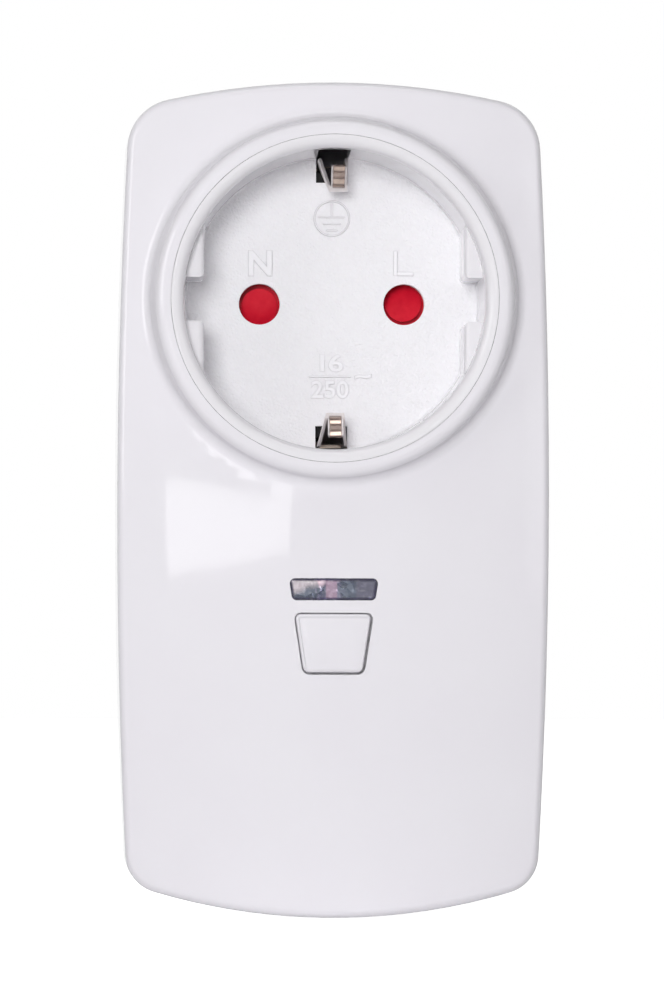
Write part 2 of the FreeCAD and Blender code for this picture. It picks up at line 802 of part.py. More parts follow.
def shutter_spring():
    """Compression spring below the right-hand arm, with square ends."""
    y = chamber_y - 0.3 - spring_coil_r
    pitch = (spring_length - spring_wire) / spring_turns
    start_z = spring_seat_z() + spring_wire / 2
    helix = Part.makeHelix(pitch, spring_length - spring_wire, spring_coil_r)
    half = spring_wire / 2
    section = Part.makePolygon([V(spring_coil_r - half, 0, -half), V(spring_coil_r + half, 0, -half),
                                V(spring_coil_r + half, 0, half), V(spring_coil_r - half, 0, half),
                                V(spring_coil_r - half, 0, -half)])
    coil = Part.Wire(helix).makePipeShell([section], True, True)
    coil.translate(V(spring_x, y, start_z))
    return coil


# Contacts and earth path

def socket_contact(side):
    """Tulip contact: a slotted tube that grips the pin, on a base with a solder tab."""
    x = side * pin_x
    outer_r = contact_r + contact_wall
    front_y = base_y - contact_length
    tulip = rod(outer_r, front_y, base_y, x, 0).cut(rod(contact_r, front_y - cut_past, base_y, x, 0))
    front_rims = [e for e in tulip.Edges if abs(e.CenterOfMass.y - front_y) < 0.01]
    lip = [e for e in front_rims if e.Curve.Radius < outer_r - fit_gap]
    tulip = tulip.makeChamfer(contact_lead_in, lip)
    slot = contact_slot / 2
    reach = outer_r + cut_past
    foot_y = base_y - contact_slot_foot
    tulip = tulip.cut(box(x - reach, x + reach, front_y - cut_past, foot_y, -slot, slot))
    tulip = tulip.cut(box(x - slot, x + slot, front_y - cut_past, foot_y, -reach, reach))
    base = rod(contact_pocket_r - fit_gap, base_y, base_y + strap_sheet, x, 0)
    tab = box(x - contact_tab_width / 2, x + contact_tab_width / 2, base_y, base_y + strap_sheet,
              -tower_r - contact_tab_reach, 0)
    return joined([tulip, base, tab])


def earth_bridge():
    """Strip behind the carrier, bent forward at both ends to carry the earth clips."""
    half = strap_width / 2
    outer = leg_z + strap_sheet
    back = carrier_back_y + strap_sheet
    front = clip_root_y + flex_gap
    corners = [(front, -outer, 0), (back, -outer, strap_outer_r),
               (back, outer, strap_outer_r), (front, outer, 0),
               (front, leg_z, 0), (carrier_back_y, leg_z, strap_inner_r),
               (carrier_back_y, -leg_z, strap_inner_r), (front, -leg_z, 0)]
    strip = profile_bar(corners, -half, half)
    return cut_rivet_holes(strip)


def cut_rivet_holes(strip):
    rivet_hole_end_y = carrier_back_y + 2 * strap_sheet + cut_past
    for side in TOP_AND_BOTTOM:
        strip = strip.cut(rod(rivet_r, carrier_back_y - cut_past, rivet_hole_end_y, 0, side * rivet_z))
    return strip


def plug_earth_strip():
    """Strip bent back at both ends, whose ends lie in the boss grooves and touch the wall socket's earth."""
    half = strap_width / 2
    outer = earth_face_z
    inner = earth_face_z - strap_sheet
    front = carrier_back_y + strap_sheet
    back = front + strap_sheet
    end = earth_strip_end_y
    tip = earth_strip_end_r
    corners = [(end, -outer, tip), (front, -outer, strap_outer_r),
               (front, outer, strap_outer_r), (end, outer, tip),
               (end, inner, tip), (back, inner, strap_inner_r),
               (back, -inner, strap_inner_r), (end, -inner, tip)]
    strip = profile_bar(corners, -half, half)
    return cut_rivet_holes(strip)


def earth_rivets():
    """Two rivets that join the earth bridge and the plug's earth strip."""
    rivets = []
    for side in TOP_AND_BOTTOM:
        z = side * rivet_z
        back = carrier_back_y + 2 * strap_sheet
        shank = rod(rivet_r, carrier_back_y - rivet_head, back + rivet_head, 0, z)
        front_head = rod(rivet_head_r, carrier_back_y - rivet_head, carrier_back_y, 0, z)
        back_head = rod(rivet_head_r, back, back + rivet_head, 0, z)
        rivets.append(joined([shank, front_head, back_head]))
    return Part.makeCompound(rivets)


def earth_clip(shift):
    """Upper earth clip: a spring channel that tapers to a round nose, with a lead-in tongue."""
    nose_y = floor_y - clip_nose_above_floor
    tip_y = nose_y - clip_tongue_reach
    tip_z = clip_nose_z + clip_tongue_rise
    bend_y = floor_back_y + clip_bend_behind_floor
    far = clip_edge_z + cut_past
    half = clip_root_width
    lip = clip_nose_z + clip_nose_r
    t = clip_sheet
    channel = profile_bar([
        (clip_root_y, leg_z, 0),
        (bend_y, leg_z, clip_root_bend_r),
        (nose_y, clip_nose_z, clip_nose_r),
        (nose_y - clip_nose_r, lip, 0),
        (nose_y + clip_nose_r - t, clip_edge_z, 0),
        (clip_root_y, clip_edge_z, 0),
    ], -half, half)
    inner = profile_bar([
        (clip_root_y + cut_past, leg_z + t, 0),
        (bend_y, leg_z + t, clip_root_bend_r - t),
        (nose_y, clip_nose_z + t, clip_nose_r - t),
        (nose_y - 2 * clip_nose_r, lip + t, 0),
        (nose_y - 2 * clip_nose_r, far, 0),
        (clip_root_y + cut_past, far, 0),
    ], -half, half)
    outside = channel.common(clip_wedge(shift, 0, tip_y, far))
    inside = inner.common(clip_wedge(shift, t, tip_y, far))
    web_rise = clip_web_overlap * (leg_z - clip_nose_z) / (bend_y - nose_y)
    tongue = profile_bar([
        (nose_y + clip_web_overlap, clip_nose_z + web_rise, 0),
        (nose_y, clip_nose_z, clip_nose_r),
        (tip_y, tip_z, 0),
        (tip_y + t * math.sin(clip_tongue_lean), tip_z + t * math.cos(clip_tongue_lean), 0),
        (nose_y, clip_nose_z + t, clip_nose_r - t),
        (nose_y + clip_web_overlap, clip_nose_z + t + web_rise, 0),
    ], shift - clip_tongue_width / 2, shift + clip_tongue_width / 2)
    return joined([outside.cut(inside), tongue])


def clip_wedge(shift, sheet, tip_y, far_z):
    """Wedge that tapers from the clip's root width to its nose width, moved inward by the sheet."""
    root = clip_root_width / 2 - sheet
    nose = clip_nose_width / 2 - sheet
    rise = clip_edge_z - clip_nose_z
    low_shift = shift * (1 + cut_past / rise)
    low_half = nose - (root - nose) * cut_past / rise
    low = clip_nose_z - cut_past
    return prism([(low_shift - low_half, low, 0), (low_shift + low_half, low, 0), (root, clip_edge_z, 0),
                  (root, far_z, 0), (-root, far_z, 0), (-root, clip_edge_z, 0)],
                 tip_y - cut_past, clip_root_y + cut_past)


def plug_pin(side):
    """Round plug pin with a domed tip, a thicker seat in the boss face, a collar behind it and a tail."""
    x = side * pin_x
    return turned([
        (0, pin_length, 0),
        (pin_r, pin_length, pin_tip_r),
        (pin_r, 0, 0),
        (pin_seat_r, 0, 0),
        (pin_seat_r, -plug_face_wall, 0),
        (pin_collar_r, -plug_face_wall, 0),
        (pin_collar_r, -plug_face_wall - pin_collar, 0),
        (pin_tail_r, -plug_face_wall - pin_collar, 0),
        (pin_tail_r, pin_tail_y, 0),
        (0, pin_tail_y, 0),
    ], x, 0)


def neutral_strap():
    """Bent strip that joins the neutral pin to the neutral socket contact."""
    far_y = -plug_face_wall - pin_collar
    near_y = base_y + strap_sheet
    x0 = -pin_x - contact_r
    x1 = -pin_x + contact_pocket_r - neutral_strap_inset
    x2 = x1 - strap_sheet
    corners = [(x0, far_y, 0), (x1, far_y, strap_outer_r), (x1, near_y, strap_outer_r), (x0, near_y, 0),
               (x0, near_y + strap_sheet, 0), (x2, near_y + strap_sheet, strap_inner_r),
               (x2, far_y - strap_sheet, strap_inner_r), (x0, far_y - strap_sheet, 0)]
    face = rounded_face(corners, lambda x, y: V(x, y, -neutral_strap_width / 2))
    strip = face.extrude(V(0, 0, neutral_strap_width))
    return strip.cut(rod(pin_tail_r + fit_gap, far_y - pin_tail, far_y + cut_past, -pin_x, 0))


def tab_lead(side):
    """Lead from a socket contact's tab, behind the carrier and down to the main board."""
    x = side * pin_x
    start_y = base_y + strap_sheet / 2
    start_z = -tower_r - contact_tab_reach
    return tube([
        V(x, start_y, start_z),
        V(x, start_y, start_z - lead_bend_r),
        V(x, lead_lane_y, start_z - lead_drop),
        V(x, lead_lane_y, lead_landing_z),
        V(x, board_back_y, lead_landing_z),
    ])


def live_lead():
    """Lead from the live pin's tail, past the earth strips and down to the main board."""
    x = strap_width / 2 + 2 * lead_r + lead_gap
    return tube([
        V(pin_x, pin_tail_y, 0),
        V(pin_x, live_turn_y, 0),
        V(x, live_turn_y, live_lead_turn_z),
        V(x, lead_lane_y, live_lead_lane_z),
        V(x, lead_lane_y, lead_landing_z),
        V(x, board_back_y, lead_landing_z),
    ])


# Controls

def indicator_window():
    """Smoky translucent pane with a rim behind the cover's face."""
    pane = prism(window_corners(-fit_gap), rim_y, window_back_y)
    pane = pane.common(dome(window_sink))
    rim = prism(window_corners(window_rim - slide_gap), window_rim_y, window_back_y)
    return joined([pane, rim])


def status_led():
    """Rectangular status light on two legs, behind the window."""
    base_back_y = board_front_y - led_standoff
    left = -led_offset - led_width / 2
    right = -led_offset + led_width / 2
    low = window_middle_z - led_height / 2
    high = window_middle_z + led_height / 2
    body = prism(rectangle(left, right, low, high, led_round), led_front_y, base_back_y)
    foot = prism(rectangle(left - led_foot, right + led_foot, low - led_foot, high + led_foot, led_round),
                 base_back_y - led_foot_thickness, base_back_y)
    leg = led_leg / 2
    legs = [box(-led_offset - leg, -led_offset + leg, base_back_y, board_front_y, z - leg, z + leg)
            for z in (window_middle_z - led_leg_pitch / 2, window_middle_z + led_leg_pitch / 2)]
    return joined([body, foot] + legs)


def button_cap():
    """Push button with a softly rounded edge, a stop flange and a stem."""
    cap = prism(button_corners(-slide_gap), rim_y, flange_y + root_depth).common(dome(-button_proud))
    rim = [e for e in cap.Edges if e.BoundBox.YMax < dome_y + button_edge_r]
    cap = cap.makeFillet(button_edge_r, rim)
    hollow = prism(button_corners(-slide_gap - button_wall), dome_y + button_cap_depth, flange_y + cut_past)
    cap = cap.cut(hollow)
    flange = prism(button_corners(button_flange), flange_y, flange_y + button_flange_thickness)
    stem = rod(button_stem_r, dome_y + button_cap_depth - root_depth, stem_y - fit_gap, 0, button_middle_z)
    return joined([cap, flange, stem])


def switch_body():
    """Square push switch on the main board, open at the top for its plunger."""
    half = switch_size / 2
    z = button_middle_z
    front = board_front_y - switch_height
    body = prism(rectangle(-half, half, z - half, z + half, switch_round), front, board_front_y)
    well_back_y = front + plunger_depth + button_travel + flex_gap
    well = rod(plunger_r + slide_gap, front - cut_past, well_back_y, 0, z)
    stud = half - 2 * switch_stud_r
    studs = [rod(switch_stud_r, front - slide_gap, front + root_depth, sx * stud, z + sz * stud)
             for sx in LEFT_AND_RIGHT for sz in LEFT_AND_RIGHT]
    return joined([body] + studs).cut(well)


def switch_plunger():
    """Round plunger that the button's stem presses."""
    front = board_front_y - switch_height
    plunger = rod(plunger_r, stem_y, front + plunger_depth, 0, button_middle_z)
    rim = [e for e in plunger.Edges if abs(e.CenterOfMass.y - stem_y) < 0.01]
    return plunger.makeChamfer(plunger_bevel, rim)


# Boards and components

# Triac on its heat sink
heat_sink_top_z = -66.0
heat_sink_base = 2.0
heat_sink_below_tab = 0.6
heat_sink_half = 14.5
heat_sink_fin = 3.4
heat_sink_fin_thickness = 1.2
heat_sink_fins = 8
triac_leg_share = 0.72
triac_leg_pitch = 2.54
triac_leg_width = 0.8
triac_leg_thickness = 0.5
triac_leg_from_tab = 2.2
triac_tab = 1.3
triac_tab_height = 15.2
triac_body = 4.5
triac_body_height = 9.2
triac_body_r = 0.3
triac_half = 5.1
triac_hole_below_top = 2.9
triac_front_y = board_back_y + triac_leg_share * (inner_back_y - board_back_y - triac_tab_height)
triac_tab_top_y = triac_front_y + triac_tab_height
triac_hole_y = triac_tab_top_y - triac_hole_below_top
heat_sink_top_y = triac_tab_top_y - heat_sink_below_tab

# Choke
choke_x = 11.0
choke_z = -46.5
choke_mean_r = 6.2
choke_core_half = 1.9
choke_core_height = 4.6
choke_wire = 0.8
choke_groove = 0.24
choke_turns = 18
choke_arc = 300.0

# Capacitors and varistor
filter_x = -12.8
filter_z = -41.4
filter_width = 17.6
filter_thickness = 8.0
filter_height = 12.0
filter_edge_r = 0.6
filter_leg_pitch = 15.0
reservoir_x = -16.3
reservoir_z = -52.9
reservoir_r = 4.0
reservoir_height = 11.5
reservoir_crimp = 0.4
reservoir_crimp_y = 1.6
reservoir_bevel = 0.6
varistor_x = -4.2
varistor_z = -53.6
varistor_r = 5.0
varistor_thickness = 3.4
varistor_bevel = 0.8
varistor_leg_pitch = 5.0
leg_r = 0.4
standoff = 0.5
varistor_standoff = 1.4

# Fuse
fuse_z = -33.4
fuse_axis_above_board = 3.4
fuse_half = 10.0
fuse_cap_r = 2.6
fuse_cap_wall = 0.25
fuse_cap = 4.8
fuse_end_wall = 0.3
fuse_glass_wall = 0.6
fuse_clip = 0.4
fuse_clip_width = 3.6
fuse_clip_grip = 0.1
fuse_clip_past_axis = 1.6
fuse_y = board_back_y + fuse_axis_above_board

# Radio receiver and chips
receiver_z = -59.6
receiver_left_x = -12.0
receiver_right_x = 8.0
receiver_height = 11.0
receiver_thickness = 1.0
receiver_chip_x = -4.5
receiver_chip_size = 5.0
receiver_chip_thickness = 0.9
antenna_x = 13.0
antenna_z = -60.2
antenna_r = 1.9
antenna_wire = 0.6
antenna_height = 8.0
antenna_turns = 5
control_chip_x = -15.05
control_chip_z = -53.7
control_chip_width = 3.9
control_chip_length = 8.6
control_chip_thickness = 1.45
control_chip_standoff = 0.15
chip_leg_reach = 1.0
chip_leg_pitch = 1.27
chip_leg_width = 0.4
chip_leg_height = 0.6
chip_legs = 7


def main_board():
    """Printed circuit board behind the button, notched round the lower cover posts."""
    x = board_half_width
    board = prism(rectangle(-x, x, board_bottom_z, board_top_z, board_corner_r), board_front_y, board_back_y)
    front = board_front_y - cut_past
    back = board_back_y + cut_past
    for side in LEFT_AND_RIGHT:
        board = board.cut(rod(cover_post_r + board_notch_gap, front, back, side * lower_post.x, lower_post.z))
    for px, pz in board_screw_places():
        board = board.cut(rod(board_screw_r + fit_gap, front, back, px, pz))
    return board


def board_screws():
    """Four screws that hold the main board on the front cover's posts."""
    screws = [screw(board_back_y, board_screw_length, x, z,
                    board_screw_r, board_screw_head_r, board_screw_head)
              for x, z in board_screw_places()]
    return Part.makeCompound(screws)


def heat_sink():
    """Extruded aluminium comb that stands on the board, with its fins downwards."""
    y0 = board_back_y
    y1 = heat_sink_top_y
    base_z = heat_sink_top_z - heat_sink_base
    body = box(-heat_sink_half, heat_sink_half, y0, y1, base_z, heat_sink_top_z)
    pitch = (2 * heat_sink_half - heat_sink_fin_thickness) / (heat_sink_fins - 1)
    fins = []
    for i in range(heat_sink_fins):
        x = -heat_sink_half + i * pitch
        fins.append(box(x, x + heat_sink_fin_thickness, y0, y1, base_z - heat_sink_fin, base_z))
    body = joined([body] + fins)
    hole_depth = heat_sink_base + 2 * cut_past
    return body.cut(Part.makeCylinder(screw_r, hole_depth, V(0, triac_hole_y, base_z - cut_past), UP))


def triac():
    """Power switch in a flat package, with its metal tab against the heat sink."""
    z0 = heat_sink_top_z
    tab = box(-triac_half, triac_half, triac_front_y, triac_tab_top_y, z0, z0 + triac_tab)
    tab = tab.cut(Part.makeCylinder(screw_r + slide_gap, triac_body, V(0, triac_hole_y, z0 - cut_past), UP))
    back_y = triac_front_y + triac_body_height
    body = profile_bar([(triac_front_y, z0, 0), (triac_front_y, z0 + triac_body, triac_body_r),
                        (back_y, z0 + triac_body, triac_body_r), (back_y, z0, 0)], -triac_half, triac_half)
    half = triac_leg_width / 2
    leg_z0 = z0 + triac_leg_from_tab
    legs = [box(i * triac_leg_pitch - half, i * triac_leg_pitch + half, board_back_y, triac_front_y,
                leg_z0, leg_z0 + triac_leg_thickness) for i in (-1, 0, 1)]
    return joined([tab, body] + legs)


def triac_screw():
    """Screw through the triac's tab into the heat sink."""
    z = heat_sink_top_z + triac_tab
    length = triac_tab + heat_sink_base - flex_gap
    shank = Part.makeCylinder(screw_r, length, V(0, triac_hole_y, z - length), UP)
    head = Part.makeCylinder(screw_head_r, screw_head, V(0, triac_hole_y, z), UP)
    rim = [e for e in head.Edges if abs(e.CenterOfMass.z - z - screw_head) < 0.01]
    return joined([shank, head.makeChamfer(screw_head * screw_head_bevel, rim)])


def choke_core():
    """Ring core of the choke, lying on the board's winding side."""
    y0 = board_back_y + choke_wire
    y1 = y0 + choke_core_height
    ring = rod(choke_mean_r + choke_core_half, y0, y1, choke_x, choke_z)
    return ring.cut(rod(choke_mean_r - choke_core_half, y0 - cut_past, y1 + cut_past, choke_x, choke_z))


def choke_winding():
    """Copper winding over most of the ring core, with a groove between each two turns."""
    y0 = board_back_y
    y1 = y0 + choke_core_height + 2 * choke_wire
    outer = choke_mean_r + choke_core_half + choke_wire
    inner = choke_mean_r - choke_core_half - choke_wire
    centre = V(choke_x, 0, choke_z)
    start = -choke_arc / 2 - 90
    face = rounded_face([(inner, y0, 0), (outer, y0, 0), (outer, y1, 0), (inner, y1, 0)],
                        lambda r, y: V(choke_x + r, y, choke_z))
    face.rotate(centre, BACK, start)
    jacket = face.revolve(centre, BACK, choke_arc)
    depth = choke_wire / 2
    half = choke_groove / 2
    grooves = []
    for i in range(1, choke_turns):
        groove = box(choke_x + outer - depth, choke_x + outer + cut_past, y0 - cut_past, y1 + cut_past,
                     choke_z - half, choke_z + half)
        groove.rotate(centre, BACK, start + i * choke_arc / choke_turns)
        grooves.append(groove)
    return jacket.cut(choke_core()).cut(Part.makeCompound(grooves))


def filter_capacitor():
    """Film capacitor in a box, on two legs."""
    x0 = filter_x - filter_width / 2
    z0 = filter_z - filter_thickness / 2
    y0 = board_back_y + standoff
    body = box(x0, x0 + filter_width, y0, y0 + filter_height, z0, z0 + filter_thickness)
    upright = [e for e in body.Edges if abs(e.CenterOfMass.y - y0 - filter_height / 2) < 0.01]
    body = body.makeFillet(filter_edge_r, upright)
    legs = [rod(leg_r, board_back_y, y0 + root_depth, filter_x + side * filter_leg_pitch / 2, filter_z)
            for side in LEFT_AND_RIGHT]
    return joined([body] + legs)


def reservoir_capacitor():
    """Electrolytic can that stands on the board, with the crimp near its foot."""
    y0 = board_back_y
    y1 = y0 + reservoir_height
    r = reservoir_r
    crimp_y = y0 + reservoir_crimp_y
    return turned([
        (0, y0, 0),
        (r, y0, 0),
        (r, crimp_y - reservoir_crimp, 0),
        (r - reservoir_crimp, crimp_y, 0),
        (r, crimp_y + reservoir_crimp, 0),
        (r, y1 - reservoir_bevel, 0),
        (r - reservoir_bevel, y1, 0),
        (0, y1, 0),
    ], reservoir_x, reservoir_z)


def fuse_glass():
    """Glass tube of the fuse."""
    tube_r = fuse_cap_r - fuse_cap_wall
    half = fuse_half - fuse_end_wall
    start = V(-half, fuse_y, fuse_z)
    outer = Part.makeCylinder(tube_r, 2 * half, start, RIGHT)
    return outer.cut(Part.makeCylinder(tube_r - fuse_glass_wall, 2 * half, start, RIGHT))


def fuse_caps():
    """Metal end caps of the fuse, each in a clip that stands on the board."""
    caps = []
    half = fuse_half - fuse_end_wall
    hollow = Part.makeCylinder(fuse_cap_r - fuse_cap_wall, 2 * half, V(-half, fuse_y, fuse_z), RIGHT)
    for side in LEFT_AND_RIGHT:
        middle = side * (fuse_half - fuse_cap / 2)
        cap = Part.makeCylinder(fuse_cap_r, fuse_cap, V(middle - fuse_cap / 2, fuse_y, fuse_z), RIGHT)
        cap = cap.cut(hollow)
        x0 = middle - fuse_clip_width / 2
        x1 = middle + fuse_clip_width / 2
        y1 = fuse_y + fuse_clip_past_axis
        near = fuse_cap_r - fuse_clip_grip
        far = fuse_cap_r + fuse_clip
        arms = [box_between(x0, x1, board_back_y, y1, fuse_z + up * near, fuse_z + up * far)
                for up in TOP_AND_BOTTOM]
        floor = box(x0, x1, board_back_y, board_back_y + fuse_clip, fuse_z - fuse_cap_r, fuse_z + fuse_cap_r)
        caps.append(joined([cap] + arms + [floor]))
    return Part.makeCompound(caps)


def varistor():
    """Disc varistor that stands on two legs."""
    y = board_back_y + varistor_standoff + varistor_r
    half = varistor_thickness / 2
    disc = Part.makeCylinder(varistor_r, varistor_thickness, V(varistor_x, y, varistor_z - half), UP)
    rims = [e for e in disc.Edges if abs(abs(e.CenterOfMass.z - varistor_z) - half) < 0.01]
    disc = disc.makeChamfer(varistor_bevel, rims)
    legs = [rod(leg_r, board_back_y, y, varistor_x + side * varistor_leg_pitch / 2, varistor_z)
            for side in LEFT_AND_RIGHT]
    return joined([disc] + legs)


def receiver_board():
    """Small radio board that stands on the main board."""
    half = receiver_thickness / 2
    return box(receiver_left_x, receiver_right_x, board_back_y, board_back_y + receiver_height,
               receiver_z - half, receiver_z + half)


def receiver_chip():
    """Radio chip on the receiver board."""
    z = receiver_z - receiver_thickness / 2
    half = receiver_chip_size / 2
    x = receiver_chip_x
    y = board_back_y + receiver_height / 2
    return box(x - half, x + half, y - half, y + half, z - receiver_chip_thickness, z)


def antenna_coil():
    """Helical antenna that stands on the main board beside the receiver board."""
    half = antenna_wire / 2
    helix = Part.makeHelix(antenna_height / antenna_turns, antenna_height, antenna_r)
    inner = antenna_r - half
    outer = antenna_r + half
    section = Part.makePolygon([V(inner, 0, -half), V(outer, 0, -half), V(outer, 0, half), V(inner, 0, half),
                                V(inner, 0, -half)])
    coil = Part.Wire(helix).makePipeShell([section], True, True)
    coil.rotate(V(0, 0, 0), RIGHT, -90)
    coil.translate(V(antenna_x, board_back_y + half, antenna_z))
    foot = box(antenna_x + inner, antenna_x + outer, board_back_y, board_back_y + half, antenna_z - half,
               antenna_z + half)
    return joined([coil, foot])


def control_chip():
    """Control chip on the board's front side, with legs along both long edges."""
    half = control_chip_width / 2
    back_y = board_front_y - control_chip_standoff
    z0 = control_chip_z - control_chip_length / 2
    body = box(control_chip_x - half, control_chip_x + half, back_y - control_chip_thickness, back_y,
               z0, z0 + control_chip_length)
    reach = half + chip_leg_reach
    pieces = [body]
    for i in range(chip_legs):
        z = control_chip_z + (i - (chip_legs - 1) / 2) * chip_leg_pitch
        pieces.append(box(control_chip_x - reach, control_chip_x + reach, board_front_y - chip_leg_height,
                          board_front_y, z - chip_leg_width / 2, z + chip_leg_width / 2))
    return joined(pieces)


parts = {
    "front_cover": front_cover(),
    "rear_cover": rear_cover(),
    "cover_screws": cover_screws(),
    "socket_insert": socket_insert(),
    "contact_carrier": contact_carrier(),
    "carrier_screws": carrier_screws(),
    "shutter": shutter(),
    "shutter_spring": shutter_spring(),
    "neutral_contact": socket_contact(-1),
    "live_contact": socket_contact(1),
    "earth_bridge": earth_bridge(),
    "earth_clip_top": earth_clip(clip_shift_top),
    "earth_clip_bottom": mirrored_z(earth_clip(clip_shift_bottom)),
    "earth_rivets": earth_rivets(),
    "plug_pin_neutral": plug_pin(-1),
    "plug_pin_live": plug_pin(1),
    "plug_earth_strip": plug_earth_strip(),
    "neutral_strap": neutral_strap(),
    "live_lead": live_lead(),
    "load_lead": tab_lead(1),
    "neutral_lead": tab_lead(-1),
    "main_board": main_board(),
    "board_screws": board_screws(),
    "triac": triac(),
    "triac_screw": triac_screw(),
    "heat_sink": heat_sink(),
    "choke_core": choke_core(),
    "choke_winding": choke_winding(),
    "filter_capacitor": filter_capacitor(),
    "reservoir_capacitor": reservoir_capacitor(),
    "fuse_glass": fuse_glass(),
    "fuse_caps": fuse_caps(),
    "varistor": varistor(),
    "receiver_board": receiver_board(),
    "receiver_chip": receiver_chip(),
    "antenna_coil": antenna_coil(),
    "control_chip": control_chip(),
    "switch_body": switch_body(),
    "switch_plunger": switch_plunger(),
    "button_cap": button_cap(),
    "indicator_window": indicator_window(),
    "status_led": status_led(),
}

os.makedirs("parts", exist_ok=True)
for name, shape in parts.items():
    shape.exportStep("parts/" + name + ".step")
    print(name, "solids", len(shape.Solids), "valid", shape.isValid(), "volume", round(shape.Volume, 1))
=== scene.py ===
# %% [markdown]
# # A plug-in dimmer, dressed in Blender
#
# The object is an earthed wall plug at the back, an earthed socket at the front and a push-button
# dimmer below it. Its housing, pins, socket and inner works arrive as a fixed frame of solids, at
# their real size and in metres. This notebook gives each of them the finish of the real thing, and
# adds what is too fine for solids: raised marks, screw slots, printed tracks and coil turns.

# %% Load the frame
import math

import bpy
from mathutils import Matrix, Vector


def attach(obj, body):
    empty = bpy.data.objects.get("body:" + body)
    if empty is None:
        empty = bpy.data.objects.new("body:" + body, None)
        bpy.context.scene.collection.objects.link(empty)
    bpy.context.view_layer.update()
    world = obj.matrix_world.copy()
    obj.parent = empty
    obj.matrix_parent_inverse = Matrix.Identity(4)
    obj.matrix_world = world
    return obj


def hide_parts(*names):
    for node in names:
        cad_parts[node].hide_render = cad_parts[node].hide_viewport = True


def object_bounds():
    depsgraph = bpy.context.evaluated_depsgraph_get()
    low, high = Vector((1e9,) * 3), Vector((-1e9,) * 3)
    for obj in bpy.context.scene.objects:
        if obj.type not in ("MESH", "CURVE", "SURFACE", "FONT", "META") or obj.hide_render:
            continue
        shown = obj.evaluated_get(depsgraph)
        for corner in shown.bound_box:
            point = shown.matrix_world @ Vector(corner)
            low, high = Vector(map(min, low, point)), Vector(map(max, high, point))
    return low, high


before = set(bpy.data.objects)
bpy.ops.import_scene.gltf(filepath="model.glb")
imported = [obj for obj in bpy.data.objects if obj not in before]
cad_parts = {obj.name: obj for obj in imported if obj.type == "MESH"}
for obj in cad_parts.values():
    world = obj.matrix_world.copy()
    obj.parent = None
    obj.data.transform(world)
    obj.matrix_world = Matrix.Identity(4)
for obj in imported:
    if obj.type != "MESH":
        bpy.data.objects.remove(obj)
cad_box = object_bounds()
MM = 0.001


def in_mm(box):
    """Box in metres as millimetres, for printing."""
    return [[round(c / MM, 1) for c in corner] for corner in box]


print("nodes", len(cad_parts), "box in mm", in_mm(cad_box))

# %% [markdown]
# ## Camera
#
# A product photograph of something this flat is taken from nearly straight ahead with a long lens, so
# that the sides hardly show. A camera can be placed by eye, or worked out from points that can be
# found both on the object and in the photograph. It was worked out here: the pin holes, the window and
# the outline give a place 0.84 m in front of the face, turned by a degree and a half.

# %% Place the camera
CAMERA_PLACE = Vector((-22.99, -896.5, -40.82)) * MM
CAMERA_YAW = math.radians(1.5405)
CAMERA_PITCH = math.radians(1.0056)
CAMERA_ROLL = math.radians(0.1557)
FRAME_HEIGHT = 1000
FOCAL_PIXELS = 6541.6
SENSOR = 36.0


def camera_axes(yaw, pitch, roll):
    """Right, up and forward of a camera that looks along +Y before it turns, pitches and rolls."""
    right = Vector((math.cos(yaw), -math.sin(yaw), 0))
    forward = Vector((math.sin(yaw) * math.cos(pitch), math.cos(yaw) * math.cos(pitch), math.sin(pitch)))
    up = right.cross(forward)
    turned_right = math.cos(roll) * right + math.sin(roll) * up
    turned_up = math.cos(roll) * up - math.sin(roll) * right
    return turned_right, turned_up, forward


camera_data = bpy.data.cameras.new("camera")
camera_data.sensor_width = SENSOR
camera_data.lens = FOCAL_PIXELS * SENSOR / FRAME_HEIGHT
camera = bpy.data.objects.new("camera", camera_data)
bpy.context.collection.objects.link(camera)
axis_right, axis_up, axis_forward = camera_axes(CAMERA_YAW, CAMERA_PITCH, CAMERA_ROLL)
for row in range(3):
    camera.matrix_world[row][0] = axis_right[row]
    camera.matrix_world[row][1] = axis_up[row]
    camera.matrix_world[row][2] = -axis_forward[row]
    camera.matrix_world[row][3] = CAMERA_PLACE[row]
bpy.context.scene.camera = camera
print("lens", round(camera_data.lens, 1), "mm")

# %% [markdown]
# ## Nodes for materials
#
# Materials here are made of shader nodes only, with no pictures, so every pattern is worked out from
# the place of a point on the object in metres. One small function adds a node, sets it and links it, and a
# few more make the nodes that nearly every finish needs. Colours are written as the hex values that a
# paint program shows, and one function turns them into the linear values that the renderer works with.

# %% Helpers for materials
def linear(hex_colour):
    """sRGB hex, such as E8E6EA, as linear RGBA."""
    channels = []
    for i in (0, 2, 4):
        c = int(hex_colour[i:i + 2], 16) / 255
        channels.append(c / 12.92 if c <= 0.04045 else ((c + 0.055) / 1.055) ** 2.4)
    return (*channels, 1.0)


def add_node(tree, kind, settings=None, inputs=None):
    """Add a node with its settings. Each input is a value, or another node's socket to link from."""
    made = tree.nodes.new("ShaderNode" + kind)
    for name, value in (settings or {}).items():
        setattr(made, name, value)
    for key, value in (inputs or {}).items():
        if isinstance(value, bpy.types.NodeSocket):
            tree.links.new(value, made.inputs[key])
        else:
            made.inputs[key].default_value = value
    return made


def blend_colours(tree, share, first, second):
    """Colour that goes from the first to the second, each a hex value or a socket, as the share goes to 1."""
    ends = [linear(end) if isinstance(end, str) else end for end in (first, second)]
    return add_node(tree, "Mix", {"data_type": "RGBA"}, {0: share, 6: ends[0], 7: ends[1]}).outputs[2]


def new_material(name):
    """Empty node material, with its tree and a texture coordinate in metres on the object."""
    material = bpy.data.materials.new(name)
    material.use_nodes = True
    tree = material.node_tree
    tree.nodes.clear()
    place = add_node(tree, "TexCoord").outputs["Object"]
    return material, tree, place


